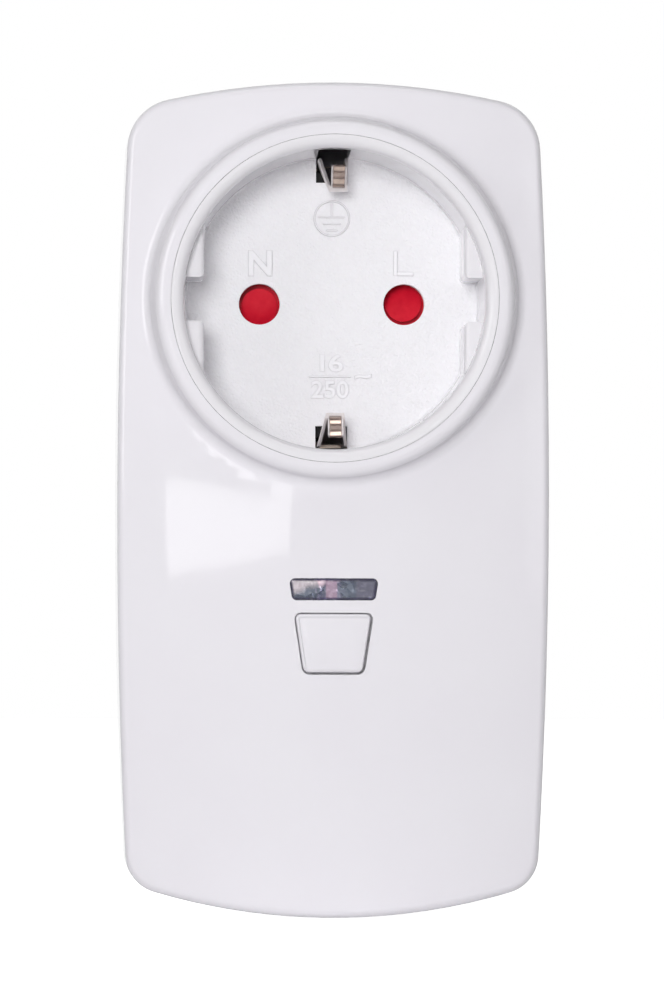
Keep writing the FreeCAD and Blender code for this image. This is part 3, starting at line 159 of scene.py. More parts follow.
def maths(tree, operation, *values):
    """Result of a sum, a product or the like."""
    return add_node(tree, "Math", {"operation": operation}, dict(enumerate(values))).outputs[0]


def ramp(tree, value, low, high, at_low=0.0, at_high=1.0):
    """Straight change from one level to another between two limits, level outside them."""
    return add_node(tree, "MapRange", inputs={
        "Value": value, 1: low, 2: high, 3: at_low, 4: at_high}).outputs[0]


def noise(tree, place, size_mm, detail):
    """Cloudy pattern whose patches are about this large."""
    return add_node(tree, "TexNoise", inputs={
        "Vector": place, "Scale": cycles_per_metre(size_mm), "Detail": detail}).outputs[0]


def raised(tree, height, strength, depth_mm, below=None):
    """Normal of a relief on the skin, which can lie on another relief below it."""
    inputs = {"Height": height, "Strength": strength, "Distance": depth_mm * MM}
    if below is not None:
        inputs["Normal"] = below
    return add_node(tree, "Bump", inputs=inputs).outputs[0]


def finish_material(tree, surface):
    add_node(tree, "OutputMaterial", inputs={"Surface": surface})


def cycles_per_metre(size_mm):
    """Noise or wave scale that repeats at about this size."""
    return 1 / (size_mm * MM)


# %% [markdown]
# ## Stage
#
# The object stands on a pale table against white, as in a catalogue. White could come from very bright
# lamps, but these would burn out the white housing too. So the world is white only where the camera,
# a mirror or a pane looks straight at it, and the lamps stay at a plain level. The table is a real
# surface, so that it takes the object's shadow. The lamps make bright pools on it, which the glossy face
# would mirror as a streak, so mirrors see the table as plain white too.

# %% World and table
TABLE_GAP = 0.4 * MM
TABLE_HALF = 1.6
WORLD_LIGHT = 0.13
TABLE_GLOW = 0.95


def seen_directly(tree):
    """1 for rays that come from the camera, from a mirror or through a pane, and 0 for the rest."""
    path = add_node(tree, "LightPath")
    mirrored = maths(tree, "MAXIMUM", path.outputs["Is Camera Ray"], path.outputs["Is Glossy Ray"])
    return maths(tree, "MAXIMUM", mirrored, path.outputs["Is Transmission Ray"])


def table_material():
    """Matt white board, lifted to white by a glow that lights nothing. Mirrors see it plain white."""
    material, tree, _ = new_material("matt_white_table")
    board = add_node(tree, "BsdfDiffuse", inputs={"Color": linear("F4F4F5"), "Roughness": 0.6})
    glow = maths(tree, "MULTIPLY", seen_directly(tree), TABLE_GLOW)
    lift = add_node(tree, "Emission", inputs={"Strength": glow})
    both = add_node(tree, "AddShader", inputs={0: board.outputs[0], 1: lift.outputs[0]})
    plain = add_node(tree, "Emission", inputs={"Strength": 1.0})
    path = add_node(tree, "LightPath")
    seen = add_node(tree, "MixShader", inputs={
        0: path.outputs["Is Glossy Ray"], 1: both.outputs[0], 2: plain.outputs[0]})
    finish_material(tree, seen.outputs[0])
    return material


def white_world():
    """World that lights softly and looks white to the camera, in mirrors and through panes."""
    world = bpy.data.worlds.new("studio")
    world.use_nodes = True
    tree = world.node_tree
    tree.nodes.clear()
    strength = add_node(tree, "Mix", {"data_type": "FLOAT"}, {
        0: seen_directly(tree), 2: WORLD_LIGHT, 3: 1.0})
    sky = add_node(tree, "Background", inputs={"Color": linear("FFFFFF"), "Strength": strength.outputs[0]})
    add_node(tree, "OutputWorld", inputs={"Surface": sky.outputs[0]})
    bpy.context.scene.world = world


white_world()
bpy.ops.object.select_all(action="DESELECT")
bpy.ops.mesh.primitive_plane_add(size=2 * TABLE_HALF, location=(0, 0, cad_box[0][2] - TABLE_GAP))
table = bpy.context.object
table.name = "table"
bpy.ops.object.transform_apply(location=True, rotation=True, scale=True)
table.data.materials.append(table_material())
print("table at", round((cad_box[0][2] - TABLE_GAP) / MM, 2), "mm")

# %% [markdown]
# ## Light
#
# Glossy white plastic is shown by what it mirrors and by how it shades off. A small lamp up at the left
# of the camera lights the bottom of the socket, and leaves a narrow shadow along the wall at its upper
# left. The face would mirror it as a bright square, so it is hidden from mirrors. A lamp further left
# shapes the collar and leaves its right foot in shadow, a weak one keeps the right side open, and one
# shines down on the table, which throws its light up under the face. These stand where the domed face
# doesn't mirror them to the camera. The gleam under the socket is the mirror image of a long low lamp at
# the left, seen almost end on, so it is a real lamp and not a painted patch. The view transform is
# Standard, so that a colour comes out about as it is written.

# %% Lamps
scene = bpy.context.scene
scene.view_settings.view_transform = "Standard"


def area_lamp(name, place, target, width, height, watts):
    """Rectangular white lamp that faces a target."""
    data = bpy.data.lights.new(name, "AREA")
    data.shape = "RECTANGLE"
    data.size = width
    data.size_y = height
    data.energy = watts
    lamp = bpy.data.objects.new(name, data)
    bpy.context.collection.objects.link(lamp)
    lamp.location = place
    lamp.rotation_euler = (Vector(target) - Vector(place)).to_track_quat("-Z", "Y").to_euler()
    return lamp


# Places, widths and heights in metres, power in watts
MIDDLE = (0, -0.03, -0.026)
front = area_lamp("front", (-0.175, -1.40, 0.135), MIDDLE, 0.34, 0.34, 10.8)
front.visible_glossy = False
area_lamp("key_left", (-0.98, -0.91, 0.255), MIDDLE, 0.5, 0.5, 2.3)
area_lamp("fill_right", (0.75, -1.00, 0.10), MIDDLE, 0.5, 0.7, 0.6)
down_light = area_lamp("table_light", (0, -0.36, 0.55), (0, -0.36, 0), 1.0, 0.4, 0.72)
down_light.data.spread = math.radians(70)

# The gleam's lamp: 1.74 m long, from beside the object to behind the camera
GLEAM_LAMP_NEAR = Vector((-0.263, -0.749, -0.029))
GLEAM_LAMP_FAR = Vector((-0.172, -2.490, -0.029))
GLEAM_LAMP_HEIGHT = 0.046
gleam_middle = (GLEAM_LAMP_NEAR + GLEAM_LAMP_FAR) / 2
gleam_run = GLEAM_LAMP_FAR - GLEAM_LAMP_NEAR
gleam = area_lamp("gleam", gleam_middle, gleam_middle + Vector((1, 0, 0)),
                  gleam_run.length, GLEAM_LAMP_HEIGHT, 0.64)
gleam.rotation_euler = (math.radians(90), 0, math.atan2(gleam_run.y, gleam_run.x))

# %% [markdown]
# ## Housing
#
# The covers and the button are injection-moulded ABS from a polished mould. The plastic is a cool white,
# a little less bright than paper, and its skin is so smooth that a lamp's edge shows in it. Melted
# plastic never sets quite flat, so the gloss gets a very slow ripple, and a faint change of roughness
# where the mould was handled.

# %% White mouldings
ABS_IOR = 1.53
RIM_HEIGHT_MM = 0.14
# The rim starts and reaches its height this far inside the outline, and follows a soft corner
RIM_STARTS_MM = -0.66
RIM_FULL_MM = -0.5
RIM_CORNER_MM = 0.6
BUTTON_MIDDLE_Z = -44.56 * MM
# Half the button's width at its middle, half its height, and how far its sides lean out towards the top
BUTTON_HALF_WIDE_MM = 4.6
BUTTON_HALF_HIGH_MM = 4.01
BUTTON_LEAN = 0.1534


def button_rim(tree, place):
    """1 on the button's rim, half a millimetre wide along its outline, and 0 on its face."""
    centred = add_node(tree, "Mapping", inputs={
        "Vector": place, "Location": (0, 0, -BUTTON_MIDDLE_Z / MM), "Scale": (1 / MM,) * 3})
    split = add_node(tree, "SeparateXYZ", inputs={0: centred.outputs[0]})
    wide = maths(tree, "ABSOLUTE", split.outputs["X"])
    side = maths(tree, "MULTIPLY_ADD", split.outputs["Z"], -BUTTON_LEAN, wide)
    beside = maths(tree, "SUBTRACT", side, BUTTON_HALF_WIDE_MM)
    high = maths(tree, "ABSOLUTE", split.outputs["Z"])
    above = maths(tree, "SUBTRACT", high, BUTTON_HALF_HIGH_MM)
    outward = maths(tree, "SMOOTH_MAX", beside, above, RIM_CORNER_MM)
    return ramp(tree, outward, RIM_STARTS_MM, RIM_FULL_MM)


def moulded_white(name, rim=None):
    """Glossy ABS: sharp gloss with a slow ripple over a cool white. A rim is a function that adds relief."""
    material, tree, place = new_material(name)
    ripple = noise(tree, place, 11, 1.0)
    handling = noise(tree, place, 0.5, 3.0)
    bump = raised(tree, ripple, 0.12, 0.1)
    if rim:
        bump = raised(tree, rim(tree, place), 1.0, RIM_HEIGHT_MM, bump)
    gloss = ramp(tree, handling, 0.3, 0.8, 0.03, 0.06)
    tint = blend_colours(tree, ripple, "E4E1E7", "E7E5EA")
    skin = add_node(tree, "BsdfPrincipled", inputs={
        "Base Color": tint, "Roughness": gloss, "IOR": ABS_IOR, "Normal": bump})
    finish_material(tree, skin.outputs[0])
    return material


# %% [markdown]
# The socket's cup is the same plastic, but its floor comes from a spark-eroded mould. Its fine craters keep
# plugs from marking it and scatter light, so that it looks paler than the polished wall and lip. They
# are about an eighth of a millimetre, and are drawn at a third so that they show. Grain and paleness are
# switched by depth.

# %% Socket cup
GRAIN_STARTS = -39.2 * MM
GRAIN_FULL = -37.6 * MM
GRAIN_MM = 0.3
FLOOR_WHITE = "F3F2F5"


def socket_white():
    """ABS with an eroded floor and a polished wall and lip."""
    material, tree, place = new_material("eroded_white_abs")
    depth = add_node(tree, "SeparateXYZ", inputs={0: place}).outputs["Y"]
    on_floor = ramp(tree, depth, GRAIN_STARTS, GRAIN_FULL)
    grain = noise(tree, place, GRAIN_MM, 2.0)
    craters = maths(tree, "MULTIPLY", grain, on_floor)
    bump = raised(tree, craters, 1.0, 0.2)
    gloss = ramp(tree, on_floor, 0.0, 1.0, 0.13, 0.45)
    tint = blend_colours(tree, on_floor, "E4E2E6", FLOOR_WHITE)
    skin = add_node(tree, "BsdfPrincipled", inputs={
        "Base Color": tint, "Roughness": gloss, "IOR": ABS_IOR, "Normal": bump})
    finish_material(tree, skin.outputs[0])
    return material


# %% [markdown]
# The raised marks on the floor are of one piece with it. Their steep sides are painted grey as shade,
# and that draws the letters. The sides are told from the flat tops by their depth.

# %% Painted shade on the sides of the marks
MARK_TOP = -37.3 * MM
MARK_SHOULDER = -37.22 * MM


def side_shaded_white():
    """Floor plastic, with painted grey shade below the marks' tops."""
    material, tree, place = new_material("eroded_abs_painted_shade")
    depth = add_node(tree, "SeparateXYZ", inputs={0: place}).outputs["Y"]
    # The marks' steep sides get painted grey shade, told from the flat tops by depth
    steep = ramp(tree, depth, MARK_TOP, MARK_SHOULDER)
    tint = blend_colours(tree, steep, FLOOR_WHITE, "D2D0D3")
    grain = noise(tree, place, GRAIN_MM, 2.0)
    bump = raised(tree, grain, 0.3, 0.05)
    skin = add_node(tree, "BsdfPrincipled", inputs={
        "Base Color": tint, "Roughness": 0.5, "IOR": ABS_IOR, "Normal": bump})
    finish_material(tree, skin.outputs[0])
    return material


# %% [markdown]
# ## Shutter
#
# The safety shutter is red PBT, a tough plastic that slides well. It is half glossy, with the orange-peel
# ripple of a thick moulding.

# %% Red shutter
def shutter_red():
    """Glossy red PBT with an orange-peel ripple."""
    material, tree, place = new_material("glossy_red_pbt")
    peel = noise(tree, place, 0.9, 2.0)
    bump = raised(tree, peel, 0.5, 0.06)
    tint = blend_colours(tree, peel, "CC0C2A", "E02438")
    skin = add_node(tree, "BsdfPrincipled", inputs={
        "Base Color": tint, "Roughness": 0.25, "IOR": 1.5, "Specular IOR Level": 0.2, "Normal": bump})
    finish_material(tree, skin.outputs[0])
    return material


# %% [markdown]
# ## Window and status light
#
# The window is smoky polycarbonate. The middle of its inner face is hammered, to spread the status light.
# Towards its upper left corner a pale pink painted reflection is laid over its colour. Its turned edge is
# seen end on and is painted dark as shade, and a pink stripe is painted glow where the status light shines
# through. Smoke is drawn as a grey-blue body that lets part of the light through, the facets by a cell
# pattern, the stripe and the plain right end by X, and the edge by the distance from the outline, which is
# worked out from X and Z. The light behind it is a pink-tinted lens.

# %% Smoky window
WINDOW_MIDDLE_Z = -37.525 * MM
WINDOW_LEAN = 0.156
# Where the dark edge starts and ends beside the middle, and above and below it
EDGE_BESIDE_MM = (5.08, 5.36)
EDGE_ABOVE_MM = (0.95, 1.2)
PLAIN_END_MM = (2.7, 3.1)
STRIPE_MIDDLE_MM = -0.3
STRIPE_HALF_MM = 0.75


def smoke_pane():
    """Smoky polycarbonate with facets, through which the status light shows, with painted shade at its edge,
    painted glow in a stripe and a painted reflection at its upper left.
    """
    material, tree, place = new_material("smoky_polycarbonate")
    centred = add_node(tree, "Mapping", inputs={
        "Vector": place, "Location": (0, 0, -WINDOW_MIDDLE_Z / MM), "Scale": (1 / MM,) * 3})
    split = add_node(tree, "SeparateXYZ", inputs={0: centred.outputs[0]})
    x, z = split.outputs["X"], split.outputs["Z"]
    wide = maths(tree, "ABSOLUTE", x)
    side = maths(tree, "MULTIPLY_ADD", z, -WINDOW_LEAN, wide)
    high = maths(tree, "ABSOLUTE", z)
    # The dark edge is painted shade, for the pane's side seen end on
    near_side = ramp(tree, side, *EDGE_BESIDE_MM)
    near_top = ramp(tree, high, *EDGE_ABOVE_MM)
    edge = maths(tree, "MAXIMUM", near_side, near_top)
    facets = add_node(tree, "TexVoronoi", {"feature": "F1"}, {
        "Vector": place, "Scale": cycles_per_metre(0.8), "Randomness": 1.0})
    shade = add_node(tree, "SeparateColor", inputs={0: facets.outputs["Color"]}).outputs[0]
    smoke = blend_colours(tree, shade, "35415C", "8A94A8")
    plain_end = ramp(tree, x, *PLAIN_END_MM)
    body = blend_colours(tree, plain_end, smoke, "7F7E94")
    # Painted reflection: a pale pink patch that grows towards the upper left
    slant = maths(tree, "MULTIPLY_ADD", x, -0.35, z)
    drift = noise(tree, place, 1.6, 2.0)
    wavy = maths(tree, "MULTIPLY_ADD", drift, 1.4, slant)
    painted_pale_reflection = ramp(tree, wavy, 1.6, 2.5)
    reflected_body = blend_colours(tree, painted_pale_reflection, body, "FFF2FA")
    # Painted glow of the status light: a pink stripe
    off_stripe = maths(tree, "ADD", x, -STRIPE_MIDDLE_MM)
    from_stripe = maths(tree, "ABSOLUTE", off_stripe)
    stripe = ramp(tree, from_stripe, STRIPE_HALF_MM - 0.1, STRIPE_HALF_MM + 0.05, 0.85, 0.0)
    striped = blend_colours(tree, stripe, reflected_body, "B09FB2")
    tint = blend_colours(tree, edge, striped, "2A2350")
    bump = raised(tree, facets.outputs["Distance"], 0.35, 0.25)
    skin = add_node(tree, "BsdfPrincipled", inputs={
        "Base Color": tint, "Roughness": 0.06, "IOR": 1.585, "Transmission Weight": 0.5, "Normal": bump})
    finish_material(tree, skin.outputs[0])
    return material


def status_lens():
    """Milky pink epoxy lens with a little light of its own."""
    material, tree, place = new_material("milky_pink_epoxy")
    milk = noise(tree, place, 0.7, 2.0)
    tint = blend_colours(tree, milk, "F0C6CC", "F6DEE2")
    skin = add_node(tree, "BsdfPrincipled", inputs={
        "Base Color": tint, "Roughness": 0.3, "IOR": 1.5, "Emission Color": linear("F4CDD6"),
        "Emission Strength": 1.6})
    finish_material(tree, skin.outputs[0])
    return material


# %% [markdown]
# ## Metal
#
# The earth strips are bronze and the pins turned brass, both plated with nickel, which is warmer than
# steel. Strip is rolled, so it has fine lines along its length, and pressing it leaves soft dents. The
# lines here run along Y, the clips' long way. Where plugs rub the middle of each clip's tongue it is
# glossier, with faint ridges, and it is painted brown as a dark reflection. Metals keep the default IOR:
# their colour sets how they mirror.

# %% Nickel, steel, brass and aluminium
RIDGE_MM = 1.6
TONGUE_HALF_MM = (0.72, 0.88)
TONGUE_NOSE_MM = (14.75, 15.0)
TONGUE_END_MM = (-43.6, -43.3)
# A wave texture of scale 1 repeats after a twentieth of a full turn
RIDGE_PERIOD_FACTOR = 2 * math.pi / 20


def rolled_metal(name, colour, stain, line_mm, run_mm, roughness, dent_mm=1.6, dent_depth_mm=0.06):
    """Metal with fine lines along Y, a faint stain and soft dents that lie across X."""
    material, tree, place = new_material(name)
    squeeze = (cycles_per_metre(line_mm), cycles_per_metre(run_mm), cycles_per_metre(line_mm))
    along = add_node(tree, "Mapping", inputs={"Vector": place, "Scale": squeeze})
    lines = add_node(tree, "TexNoise", inputs={"Vector": along.outputs[0], "Scale": 1.0, "Detail": 3.0})
    wide = (cycles_per_metre(4 * dent_mm), cycles_per_metre(dent_mm), cycles_per_metre(dent_mm))
    across = add_node(tree, "Mapping", inputs={"Vector": place, "Scale": wide})
    dents = add_node(tree, "TexNoise", inputs={"Vector": across.outputs[0], "Scale": 1.0, "Detail": 2.0})
    tint = blend_colours(tree, dents.outputs[0], colour, stain)
    gloss = ramp(tree, lines.outputs[0], 0.3, 0.7, roughness * 0.7, roughness * 1.4)
    fine = raised(tree, lines.outputs[0], 0.25, 0.01)
    soft = raised(tree, dents.outputs[0], 0.6, dent_depth_mm, fine)
    skin = add_node(tree, "BsdfPrincipled", inputs={
        "Base Color": tint, "Metallic": 1.0, "Roughness": gloss, "Normal": soft})
    finish_material(tree, skin.outputs[0])
    return material


def pressed_nickel(name, tongue_middle_mm, ridge_phase):
    """Satin nickel on pressed bronze strip, glossier with faint ridges where plugs wipe it, and painted brown
    there as a dark reflection.
    """
    material, tree, place = new_material(name)
    split = add_node(tree, "SeparateXYZ", inputs={0: place})
    aside = maths(tree, "ADD", split.outputs["X"], -tongue_middle_mm * MM)
    wide = maths(tree, "ABSOLUTE", aside)
    high = maths(tree, "ABSOLUTE", split.outputs["Z"])
    off_edge = ramp(tree, wide, TONGUE_HALF_MM[0] * MM, TONGUE_HALF_MM[1] * MM, 1.0, 0.0)
    off_nose = ramp(tree, high, TONGUE_NOSE_MM[0] * MM, TONGUE_NOSE_MM[1] * MM)
    on_tongue = ramp(tree, split.outputs["Y"], TONGUE_END_MM[0] * MM, TONGUE_END_MM[1] * MM, 1.0, 0.0)
    inside_tongue = maths(tree, "MULTIPLY", off_edge, off_nose)
    painted_reflection_patch = maths(tree, "MULTIPLY", inside_tongue, on_tongue)
    ridges = add_node(tree, "TexWave", {"wave_type": "BANDS", "bands_direction": "Z"}, {
        "Vector": place, "Scale": RIDGE_PERIOD_FACTOR / (RIDGE_MM * MM), "Distortion": 1.2, "Detail": 1.0,
        "Detail Scale": 0.6, "Phase Offset": ridge_phase})
    relief = maths(tree, "MULTIPLY", ridges.outputs["Fac"], painted_reflection_patch)
    stain = noise(tree, place, 1.1, 3.0)
    # The brown in the tongue's middle is a painted reflection of the dark socket around it
    bronze = blend_colours(tree, stain, "CFBDB2", "927F74")
    tint = blend_colours(tree, painted_reflection_patch, "F6F1EF", bronze)
    gloss = ramp(tree, painted_reflection_patch, 0.0, 1.0, 0.5, 0.16)
    bump = raised(tree, relief, 1.0, 0.165)
    skin = add_node(tree, "BsdfPrincipled", inputs={
        "Base Color": tint, "Metallic": 1.0, "Roughness": gloss, "Normal": bump})
    finish_material(tree, skin.outputs[0])
    return material


def zinc_plate():
    """Bright zinc on steel screws, with the grainy spangle of a barrel bath."""
    material, tree, place = new_material("zinc_plated_steel")
    spangle = add_node(tree, "TexVoronoi", inputs={"Vector": place, "Scale": cycles_per_metre(0.45)})
    tint = blend_colours(tree, spangle.outputs["Distance"], "C9CCD2", "A9A79E")
    scuff = noise(tree, place, 0.8, 4.0)
    gloss = ramp(tree, scuff, 0.3, 0.7, 0.22, 0.42)
    bump = raised(tree, spangle.outputs["Distance"], 0.2, 0.02)
    skin = add_node(tree, "BsdfPrincipled", inputs={
        "Base Color": tint, "Metallic": 1.0, "Roughness": gloss, "Normal": bump})
    finish_material(tree, skin.outputs[0])
    return material


# %% [markdown]
# ## Inner plastics
#
# The contact carrier is black polyamide filled with glass fibre. The fibres come to the skin as short
# pale flecks, so it is matt and a little cloudy. Chips and the triac are pressed from black epoxy full of
# fine sand, capacitors sit in coloured boxes, and the leads' sleeves are soft PVC. One function makes
# them all, with flecks of the filler's size.

# %% Filled and cast plastics
def filled_plastic(name, colour, fleck, fleck_mm, roughness, relief_mm):
    """Plastic with a pale filler at its skin: flecks of colour, an uneven gloss and a fine relief."""
    material, tree, place = new_material(name)
    flecks = add_node(tree, "TexNoise", inputs={
        "Vector": place, "Scale": cycles_per_metre(fleck_mm), "Detail": 4.0, "Roughness": 0.7})
    share = ramp(tree, flecks.outputs[0], 0.45, 0.7)
    tint = blend_colours(tree, share, colour, fleck)
    gloss = ramp(tree, flecks.outputs[0], 0.3, 0.7, roughness * 0.8, roughness * 1.2)
    bump = raised(tree, flecks.outputs[0], 0.5, relief_mm)
    skin = add_node(tree, "BsdfPrincipled", inputs={
        "Base Color": tint, "Roughness": gloss, "IOR": ABS_IOR, "Normal": bump})
    finish_material(tree, skin.outputs[0])
    return material


STRIPE_STARTS = -19.4 * MM
STRIPE_FADE = 0.1 * MM


def striped_sleeve():
    """Dark shrink sleeve of the can, with the grey stripe that marks the minus leg."""
    material, tree, place = new_material("shrink_sleeve_pvc")
    across = add_node(tree, "SeparateXYZ", inputs={0: place}).outputs["X"]
    stripe = ramp(tree, across, STRIPE_STARTS, STRIPE_STARTS + STRIPE_FADE, 1.0, 0.0)
    tint = blend_colours(tree, stripe, "23262C", "A9ADB3")
    crease = noise(tree, place, 2.2, 2.0)
    bump = raised(tree, crease, 0.3, 0.05)
    skin = add_node(tree, "BsdfPrincipled", inputs={
        "Base Color": tint, "Roughness": 0.3, "IOR": 1.54, "Normal": bump})
    finish_material(tree, skin.outputs[0])
    return material


# %% [markdown]
# ## Boards, glass, ferrite and enamelled wire
#
# A printed board is glass cloth under a green lacquer, with copper tracks that lift the lacquer a little
# and look paler through it. The tracks are drawn by every other cell of a pattern of squarish cells, and
# the tinned pads by round dots on a loose grid. The fuse is a clear glass tube. Ferrite is a baked
# ceramic with small pits. Winding wire is copper under a thin clear enamel, so it gets a coat.

# %% Boards
def lacquered_board():
    """Green lacquer over copper tracks, with tinned pads."""
    material, tree, place = new_material("green_solder_lacquer")
    cells = add_node(tree, "TexVoronoi", {"feature": "F1", "distance": "CHEBYCHEV"}, {
        "Vector": place, "Scale": cycles_per_metre(3.4), "Randomness": 0.8})
    shade = add_node(tree, "SeparateColor", inputs={0: cells.outputs["Color"]}).outputs[0]
    track = ramp(tree, shade, 0.48, 0.52)
    lacquer = blend_colours(tree, track, "1F4A2E", "2F6B3F")
    dots = add_node(tree, "TexVoronoi", {"feature": "F1"}, {
        "Vector": place, "Scale": cycles_per_metre(2.54), "Randomness": 0.35})
    pad = ramp(tree, dots.outputs["Distance"], 0.2, 0.24, 1.0, 0.0)
    tint = blend_colours(tree, pad, lacquer, "C4C2BA")
    weave = noise(tree, place, 0.6, 2.0)
    relief = maths(tree, "MULTIPLY_ADD", track, 0.8, weave)
    bump = raised(tree, relief, 0.4, 0.035)
    skin = add_node(tree, "BsdfPrincipled", inputs={
        "Base Color": tint, "Metallic": pad, "Roughness": 0.32, "Normal": bump})
    finish_material(tree, skin.outputs[0])
    return material


# %% Glass and wire
DRAW_RUN_MM = 100 / 3
DRAW_LINE_MM = 0.4


def fuse_glass():
    """Clear drawn glass with faint draw lines along X."""
    material, tree, place = new_material("drawn_clear_glass")
    squeeze = (cycles_per_metre(DRAW_RUN_MM), cycles_per_metre(DRAW_LINE_MM), cycles_per_metre(DRAW_LINE_MM))
    along = add_node(tree, "Mapping", inputs={"Vector": place, "Scale": squeeze})
    lines = add_node(tree, "TexNoise", inputs={"Vector": along.outputs[0], "Scale": 1.0})
    bump = raised(tree, lines.outputs[0], 0.15, 0.01)
    skin = add_node(tree, "BsdfPrincipled", inputs={
        "Base Color": linear("F2F7F6"), "Roughness": 0.02, "IOR": 1.5, "Transmission Weight": 1.0,
        "Normal": bump})
    finish_material(tree, skin.outputs[0])
    return material


def winding_wire():
    """Copper with a clear brown enamel."""
    material, tree, place = new_material("enamelled_copper_wire")
    tone = noise(tree, place, 1.4, 3.0)
    tint = blend_colours(tree, tone, "A4522A", "C9783F")
    bump = raised(tree, tone, 0.2, 0.02)
    skin = add_node(tree, "BsdfPrincipled", inputs={
        "Base Color": tint, "Metallic": 1.0, "Roughness": 0.3, "Coat Weight": 0.7,
        "Coat Roughness": 0.08, "Normal": bump})
    finish_material(tree, skin.outputs[0])
    return material


# %% [markdown]
# ## Give each solid its finish
#
# Every solid arrives with a slot named for its material. The finish with that name takes the slot. The
# pins and the earth clips share the slot of nickel, but are worked otherwise, so they get their own.

# %% Assign
finishes = {
    "case_white": moulded_white("glossy_white_abs"),
    "insert_white": socket_white(),
    "carrier_black": filled_plastic("glass_filled_polyamide", "0C090A", "1E1A1B", 0.5, 0.5, 0.02),
    "shutter_red": shutter_red(),
    "smoke_pane": smoke_pane(),
    "status_pink": status_lens(),
    "nickel": rolled_metal("nickel_plated_bronze", "DCCFC0", "A8968A", 0.12, 4.0, 0.16, 0.5, 0.08),
    "screw_steel": zinc_plate(),
    "contact_brass": rolled_metal("tinned_brass_strip", "D2B06C", "BE9A5C", 0.1, 3.0, 0.28),
    "board_green": lacquered_board(),
    "package_black": filled_plastic("black_moulding_epoxy", "18181A", "2C2C2F", 0.25, 0.5, 0.015),
    "aluminium": rolled_metal("extruded_aluminium", "C9CBCD", "B4B6B9", 0.15, 9.0, 0.35),
    "ferrite": filled_plastic("baked_ferrite", "35383B", "55585C", 0.35, 0.6, 0.04),
    "copper": winding_wire(),
    "film_yellow": filled_plastic("yellow_box_pbt", "D4A92C", "E2BD48", 0.8, 0.38, 0.02),
    "can_sleeve": striped_sleeve(),
    "varistor_blue": filled_plastic("blue_dip_epoxy", "24508C", "3B6BA8", 1.6, 0.3, 0.06),
    "fuse_glass": fuse_glass(),
    "live_brown": filled_plastic("brown_sleeve_pvc", "5E3319", "6F4023", 0.7, 0.42, 0.015),
    "neutral_blue": filled_plastic("blue_sleeve_pvc", "24489A", "3559AA", 0.7, 0.42, 0.015),
    "load_black": filled_plastic("black_sleeve_pvc", "161616", "242424", 0.7, 0.42, 0.015),
}
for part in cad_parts.values():
    for slot in part.material_slots:
        slot.material = finishes[slot.material.name.split(".")[0]]
pin_finish = rolled_metal("turned_nickel_plated_brass", "DDD8D0", "D2CBC1", 0.12, 0.3, 0.13, 9.0, 0.01)
for pin in ("plug_pin_neutral", "plug_pin_live"):
    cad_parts[pin].material_slots[0].material = pin_finish
# Where the middle of each clip's tongue is, in mm along X, and where its ridges start
TONGUES = {"earth_clip_top": (0.7, 0.0), "earth_clip_bottom": (0.35, 0.3)}
for clip, (tongue_middle, phase) in TONGUES.items():
    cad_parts[clip].material_slots[0].material = pressed_nickel(clip + "_nickel", tongue_middle, phase)
print("finishes", len(finishes))

# %% [markdown]
# ## Raised marks
#
# The socket's floor carries the usual raised marks: N and L beside the pin holes, the earth sign above
# them, and the rating below. They are cut into the mould, so they stand proud of the floor by a third of
# a millimetre, with flat tops and soft edges. Type is the quickest way to letters: it is given a
# thickness, made a mesh, fitted to the measured box and stood on the floor.

# %% Tools for modelling
FLOOR_Y = -37.0
MARK_HEIGHT = 0.32
MARK_ROOT = 0.1
MARK_MIDDLE_Y = FLOOR_Y - (MARK_HEIGHT - MARK_ROOT) / 2
MARK_EDGE = 0.17
FINE_EDGE = 0.11
MARK_CREASE = 30


def deselect():
    bpy.ops.object.select_all(action="DESELECT")


def join(name, *pieces):
    """One piece out of several, with its place in its mesh."""
    deselect()
    for piece in pieces:
        piece.select_set(True)
    bpy.context.view_layer.objects.active = pieces[0]
    if len(pieces) > 1:
        bpy.ops.object.join()
    joined = bpy.context.object
    joined.name = name
    joined.data.name = name
    bpy.ops.object.transform_apply(location=True, rotation=True, scale=True)
    return joined


def dress(piece, finish, body):
    """Finish and body of a new piece."""
    piece.data.materials.clear()
    piece.data.materials.append(finish)
    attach(piece, body)


# %% Letters and figures
# A capital letter is this share of the type's size
CAPITAL_SHARE = 0.73


def raised_word(word, left, right, low, high, edge=MARK_EDGE, weight=0.0, spacing=1.0):
    """Raised type that fills a box on the socket's floor, in millimetres."""
    deselect()
    bpy.ops.object.text_add()
    text = bpy.context.object
    text.data.body = word
    text.data.size = (high - low) * MM / CAPITAL_SHARE
    text.data.extrude = (MARK_HEIGHT + MARK_ROOT) / 2 * MM - edge * MM
    text.data.bevel_depth = edge * MM
    text.data.bevel_resolution = 1
    text.data.resolution_u = 6
    text.data.offset = weight * MM
    text.data.space_character = spacing
    bpy.ops.object.convert(target="MESH")
    word_mesh = bpy.context.object
    corners = [v.co for v in word_mesh.data.vertices]
    x0, x1 = min(c.x for c in corners), max(c.x for c in corners)
    y0, y1 = min(c.y for c in corners), max(c.y for c in corners)
    stretch = ((right - left) * MM / (x1 - x0), (high - low) * MM / (y1 - y0), 1)
    word_mesh.scale = stretch
    word_mesh.rotation_euler = (math.radians(90), 0, 0)
    word_mesh.location = (left * MM - x0 * stretch[0],
                          MARK_MIDDLE_Y * MM,
                          low * MM - y0 * stretch[1])
    bpy.ops.object.transform_apply(location=True, rotation=True, scale=True)
    return word_mesh


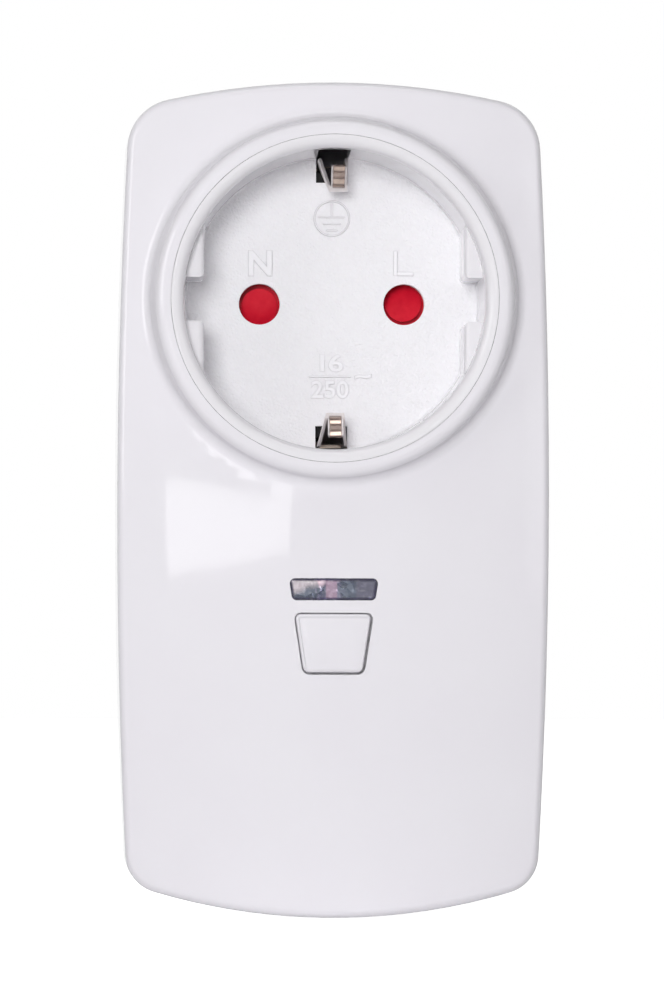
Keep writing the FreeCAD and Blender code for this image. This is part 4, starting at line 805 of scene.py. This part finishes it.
def raised_bar(left, right, low, high):
    """Straight raised line with soft edges, in millimetres."""
    deselect()
    bpy.ops.mesh.primitive_cube_add(size=1, location=(
        (left + right) / 2 * MM, MARK_MIDDLE_Y * MM, (low + high) / 2 * MM))
    bar = bpy.context.object
    bar.scale = ((right - left) * MM, (MARK_HEIGHT + MARK_ROOT) * MM, (high - low) * MM)
    bpy.ops.object.transform_apply(location=True, rotation=True, scale=True)
    bpy.ops.object.mode_set(mode="EDIT")
    bpy.ops.mesh.bevel(offset=MARK_EDGE * MM, segments=2, affect="EDGES")
    bpy.ops.object.mode_set(mode="OBJECT")
    return bar


pole_marks = join("pole_marks",
                  raised_word("N", -11.0, -7.8, 3.65, 7.1, weight=0.03),
                  raised_bar(8.1, 8.68, 3.75, 7.1),
                  raised_bar(8.6, 10.8, 3.75, 4.33))
rating = join("rating_mark",
              raised_word("16", -1.55, 1.55, -8.9, -6.5, edge=FINE_EDGE, spacing=0.88),
              raised_bar(-3.0, 2.6, -9.65, -9.4),
              raised_word("250", -2.7, 2.3, -12.4, -10.0, edge=FINE_EDGE),
              raised_word("~", 3.0, 5.3, -9.9, -9.1, edge=FINE_EDGE))
print("marks", [len(m.data.polygons) for m in (pole_marks, rating)])

# %% [markdown]
# The earth sign is a ring round three bars and a stem. A torus makes the ring. It is stretched along Y,
# so that it stands as high as the bars.

# %% Earth sign
RING_R = 0.14
RING_MIDDLE = (0, FLOOR_Y * MM, 11.3 * MM)
deselect()
bpy.ops.mesh.primitive_torus_add(
    location=RING_MIDDLE, rotation=(math.radians(90), 0, 0),
    major_radius=2.28 * MM, minor_radius=RING_R * MM, major_segments=72, minor_segments=12)
ring = bpy.context.object
bpy.ops.object.transform_apply(location=True, rotation=True, scale=True)
bpy.ops.object.mode_set(mode="EDIT")
bpy.ops.transform.resize(value=(1, MARK_HEIGHT / RING_R, 1), center_override=RING_MIDDLE)
bpy.ops.object.mode_set(mode="OBJECT")
earth_sign = join("earth_sign", ring,
                  raised_bar(-0.15, 0.15, 11.5, 13.5), raised_bar(-1.85, 1.75, 11.35, 11.6),
                  raised_bar(-1.2, 1.2, 10.45, 10.7), raised_bar(-0.8, 0.8, 9.6, 9.85))
mark_finish = side_shaded_white()
for mark in (pole_marks, rating, earth_sign):
    deselect()
    mark.select_set(True)
    bpy.context.view_layer.objects.active = mark
    bpy.ops.object.shade_smooth_by_angle(angle=math.radians(MARK_CREASE))
    dress(mark, mark_finish, "housing")
print("earth sign", len(earth_sign.data.polygons))

# %% [markdown]
# ## Front cover
#
# The domed face is one smooth sheet, but its mesh runs in long thin triangles to the corners of the
# openings, where it shares its vertices with their tiny roundings. There the gloss would take up the
# roundings' tilt. On a merged copy the Weighted Normal modifier gives the large triangles the say.

# %% Cover with even gloss
MERGE_MM = 0.002
COVER_CREASE = 35


def copy_of(node, name):
    """Active copy of a solid with its own mesh."""
    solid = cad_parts[node]
    copied = solid.copy()
    copied.data = solid.data.copy()
    copied.name = name
    bpy.context.collection.objects.link(copied)
    deselect()
    copied.select_set(True)
    bpy.context.view_layer.objects.active = copied
    return copied


cover = copy_of("front_cover", "front_shell")
bpy.ops.object.mode_set(mode="EDIT")
bpy.ops.mesh.select_all(action="SELECT")
bpy.ops.mesh.remove_doubles(threshold=MERGE_MM * MM)
bpy.ops.mesh.customdata_custom_splitnormals_clear()
bpy.ops.object.mode_set(mode="OBJECT")
bpy.ops.object.shade_smooth_by_angle(angle=math.radians(COVER_CREASE))
bpy.ops.object.modifier_add(type="WEIGHTED_NORMAL")
cover.modifiers[-1].keep_sharp = True
cover.modifiers[-1].weight = 100
bpy.ops.object.modifier_apply(modifier=cover.modifiers[-1].name)
dress(cover, finishes["case_white"], "housing")
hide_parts("front_cover")
print("front shell", len(cover.data.polygons))

# %% [markdown]
# ## Button
#
# The button has a tenth of a millimetre of play all round, and nothing centres it: it sits in the upper
# left of its opening, so that the gap is widest at the right and below. Its rounded rim stands a hair
# above its face. Both are too fine for the solids. A copy of the solid is merged and moved within its
# play, and the rim is relief in its finish.

# %% Button
BUTTON_SHIFT = 0.07
button_face = copy_of("button_cap", "button_face")
bpy.ops.object.mode_set(mode="EDIT")
bpy.ops.mesh.select_all(action="SELECT")
bpy.ops.mesh.remove_doubles(threshold=MERGE_MM / 2 * MM)
bpy.ops.transform.translate(value=(-BUTTON_SHIFT * MM, 0, BUTTON_SHIFT * MM))
bpy.ops.object.mode_set(mode="OBJECT")
dress(button_face, moulded_white("rimmed_white_abs", button_rim), "button")
print("button", len(button_face.data.polygons), "faces, shifted", BUTTON_SHIFT, "mm")
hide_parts("button_cap")

# %% [markdown]
# ## Screws
#
# The covers are held by screws whose heads sit in deep wells at the back, and smaller ones hold the boards
# and the contact carrier. A screw is a turned part, so it is drawn as half its outline, a chain of points
# that are extruded one after the other, and spun round its axis. Its thread is drawn as rings, which look
# the same at this size. The cross in the head is cut by a tapered plus, with a Boolean modifier. Each
# kind is modelled once, with its top at the origin, and copied to its places.

# %% Tools for turned pieces
def lathe(name, outline, steps=28):
    """Closed solid of revolution about Z, from points of radius and height, in mm, axis to axis."""
    deselect()
    bpy.ops.mesh.primitive_plane_add(size=MM)
    turned = bpy.context.object
    turned.name = name
    bpy.ops.object.mode_set(mode="EDIT")
    bpy.ops.mesh.merge(type="CENTER")
    bpy.ops.transform.translate(value=(outline[0][0] * MM, 0, outline[0][1] * MM))
    for (r0, h0), (r1, h1) in zip(outline, outline[1:]):
        bpy.ops.mesh.extrude_region_move(
            TRANSFORM_OT_translate={"value": ((r1 - r0) * MM, 0, (h1 - h0) * MM)})
    bpy.ops.mesh.select_all(action="SELECT")
    bpy.ops.mesh.spin(steps=steps, angle=2 * math.pi, center=(0, 0, 0), axis=(0, 0, 1))
    bpy.ops.mesh.select_all(action="SELECT")
    bpy.ops.mesh.remove_doubles(threshold=MERGE_MM * MM)
    bpy.ops.mesh.normals_make_consistent(inside=False)
    bpy.ops.object.mode_set(mode="OBJECT")
    return turned


CROSS_TAPER = 0.45


def cross_cutter(reach, width, depth):
    """Plus-shaped cutter that narrows downwards, in millimetres."""
    arms = []
    for turn in (0, 90):
        deselect()
        bpy.ops.mesh.primitive_cube_add(size=1)
        arm = bpy.context.object
        arm.scale = (2 * reach * MM, width * MM, 2 * depth * MM)
        arm.rotation_euler = (0, 0, math.radians(turn))
        bpy.ops.object.transform_apply(location=True, rotation=True, scale=True)
        bpy.ops.object.mode_set(mode="EDIT")
        bpy.ops.mesh.select_all(action="DESELECT")
        bpy.ops.object.mode_set(mode="OBJECT")
        for vertex in arm.data.vertices:
            vertex.select = vertex.co.z < 0
        bpy.ops.object.mode_set(mode="EDIT")
        bpy.ops.transform.resize(value=(CROSS_TAPER, CROSS_TAPER, 1), center_override=(0, 0, -depth * MM))
        bpy.ops.object.mode_set(mode="OBJECT")
        arms.append(arm)
    return join("cross_cutter", *arms)


SCREW_CREASE = 32


def cross_head_screw(name, head_r, head_height, shank_r, reach, pitch):
    """Pan-head screw along Z, with its top at the origin, in millimetres."""
    root_r = 0.74 * shank_r
    outline = [(0, 0), (0.55 * head_r, -0.03 * head_height), (0.84 * head_r, -0.2 * head_height),
               (head_r, -0.55 * head_height), (head_r, -head_height), (root_r, -head_height)]
    height = -head_height - pitch / 2
    while height > -reach + 1.5 * pitch:
        outline += [(shank_r, height), (root_r, height - pitch / 2)]
        height -= pitch
    outline += [(0.6 * root_r, -reach + 0.3 * pitch), (0, -reach)]
    screw = lathe(name, outline)
    cutter = cross_cutter(0.58 * head_r, 0.24 * head_r, 0.62 * head_height)
    cut = screw.modifiers.new("cross", "BOOLEAN")
    cut.operation = "DIFFERENCE"
    cut.solver = "EXACT"
    cut.use_self = True
    cut.object = cutter
    deselect()
    screw.select_set(True)
    bpy.context.view_layer.objects.active = screw
    bpy.ops.object.modifier_apply(modifier=cut.name)
    bpy.data.objects.remove(cutter)
    bpy.ops.object.shade_smooth_by_angle(angle=math.radians(SCREW_CREASE))
    return screw


def set_at(pattern, name, places, tilt):
    """Copies of one screw at places in mm, turned about X by a tilt, as one piece. The pattern goes."""
    copies = []
    for place in places:
        copied = pattern.copy()
        copied.data = pattern.data.copy()
        bpy.context.collection.objects.link(copied)
        copied.rotation_euler = (math.radians(tilt), 0, 0)
        copied.location = Vector(place) * MM
        copies.append(copied)
    bpy.data.objects.remove(pattern)
    return join(name, *copies)


# %% Screws
BACKWARDS = -90
SIDES = (-1, 1)
# For each node: head radius, head height, shank radius, length and pitch, then places, then tilt
SCREWS = {
    "cover_screws": ((2.8, 1.8, 1.5, 23.8, 1.3),
                     [(s * 20.74, -19.0, 20.59) for s in SIDES] + [(s * 21.02, -19.0, -71.5) for s in SIDES],
                     BACKWARDS),
    "board_screws": ((2.0, 1.3, 1.1, 6.8, 0.9),
                     [(s * 20, -37.4, level) for level in (-31.2, -60.0) for s in SIDES], BACKWARDS),
    "carrier_screws": ((2.0, 1.3, 1.1, 10.3, 0.9), [(s * 17.6, -26.7, -20.4) for s in SIDES], BACKWARDS),
    "triac_screw": ((2.8, 1.8, 1.5, 4.8, 0.7), [(0, -22.8, -62.9)], 0),
}
for node, (sizes, places, tilt) in SCREWS.items():
    piece = set_at(cross_head_screw("pattern", *sizes), node.rstrip("s") + "_set", places, tilt)
    dress(piece, finishes["screw_steel"], "housing")
    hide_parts(node)

# %% [markdown]
# ## Choke winding
#
# The choke is a ring of ferrite with enamelled wire wound through it. One turn is a torus whose four
# quarters are pulled apart, so that it becomes a rounded rectangle round the ring's section. It is copied
# along 300 degrees of the ring, and the two ends of the wire leave a gap at the bottom.

# %% Choke
CHOKE_MIDDLE = (11.0, -35.6, -46.5)
WIRE_R = 0.4
TURN_CORNER_R = 0.9
TURN_HALF_WIDTH = 2.3
TURN_HALF_HEIGHT = 2.7
TURN_MIDDLE_R = 6.2
TURNS = 23
WOUND_ARC = 300
SEAM_MM = 0.01


def one_turn():
    """Turn of wire round the section of the ring, in the plane of X and Z, centred on the origin."""
    deselect()
    bpy.ops.mesh.primitive_torus_add(
        major_radius=TURN_CORNER_R * MM, minor_radius=WIRE_R * MM, major_segments=24, minor_segments=8,
        rotation=(math.radians(90), 0, 0))
    turn = bpy.context.object
    bpy.ops.object.transform_apply(location=True, rotation=True, scale=True)
    reach = ((TURN_HALF_WIDTH - TURN_CORNER_R) * MM, 0, (TURN_HALF_HEIGHT - TURN_CORNER_R) * MM)
    for axis in (0, 2):
        for side in (-1, 1):
            bpy.ops.object.mode_set(mode="EDIT")
            bpy.ops.mesh.select_all(action="DESELECT")
            bpy.ops.object.mode_set(mode="OBJECT")
            for vertex in turn.data.vertices:
                vertex.select = side * vertex.co[axis] > SEAM_MM * MM
            bpy.ops.object.mode_set(mode="EDIT")
            shift = [0, 0, 0]
            shift[axis] = side * reach[axis]
            bpy.ops.transform.translate(value=shift)
            bpy.ops.object.mode_set(mode="OBJECT")
    bpy.ops.object.shade_smooth()
    return turn


pattern_turn = one_turn()
turns = []
for number in range(TURNS):
    around = math.radians(-WOUND_ARC / 2 + WOUND_ARC * number / (TURNS - 1))
    turn = pattern_turn.copy()
    turn.data = pattern_turn.data.copy()
    bpy.context.collection.objects.link(turn)
    # Its width lies along the ring's radius, and its height along the ring's axis, Y
    radial = Vector((math.sin(around), 0, math.cos(around)))
    turn.matrix_world = Matrix((
        (radial[0], radial[2], 0, (CHOKE_MIDDLE[0] + radial[0] * TURN_MIDDLE_R) * MM),
        (0, 0, 1, CHOKE_MIDDLE[1] * MM),
        (radial[2], -radial[0], 0, (CHOKE_MIDDLE[2] + radial[2] * TURN_MIDDLE_R) * MM),
        (0, 0, 0, 1)))
    turns.append(turn)
bpy.data.objects.remove(pattern_turn)
winding = join("choke_turns", *turns)
dress(winding, finishes["copper"], "housing")
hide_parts("choke_winding")
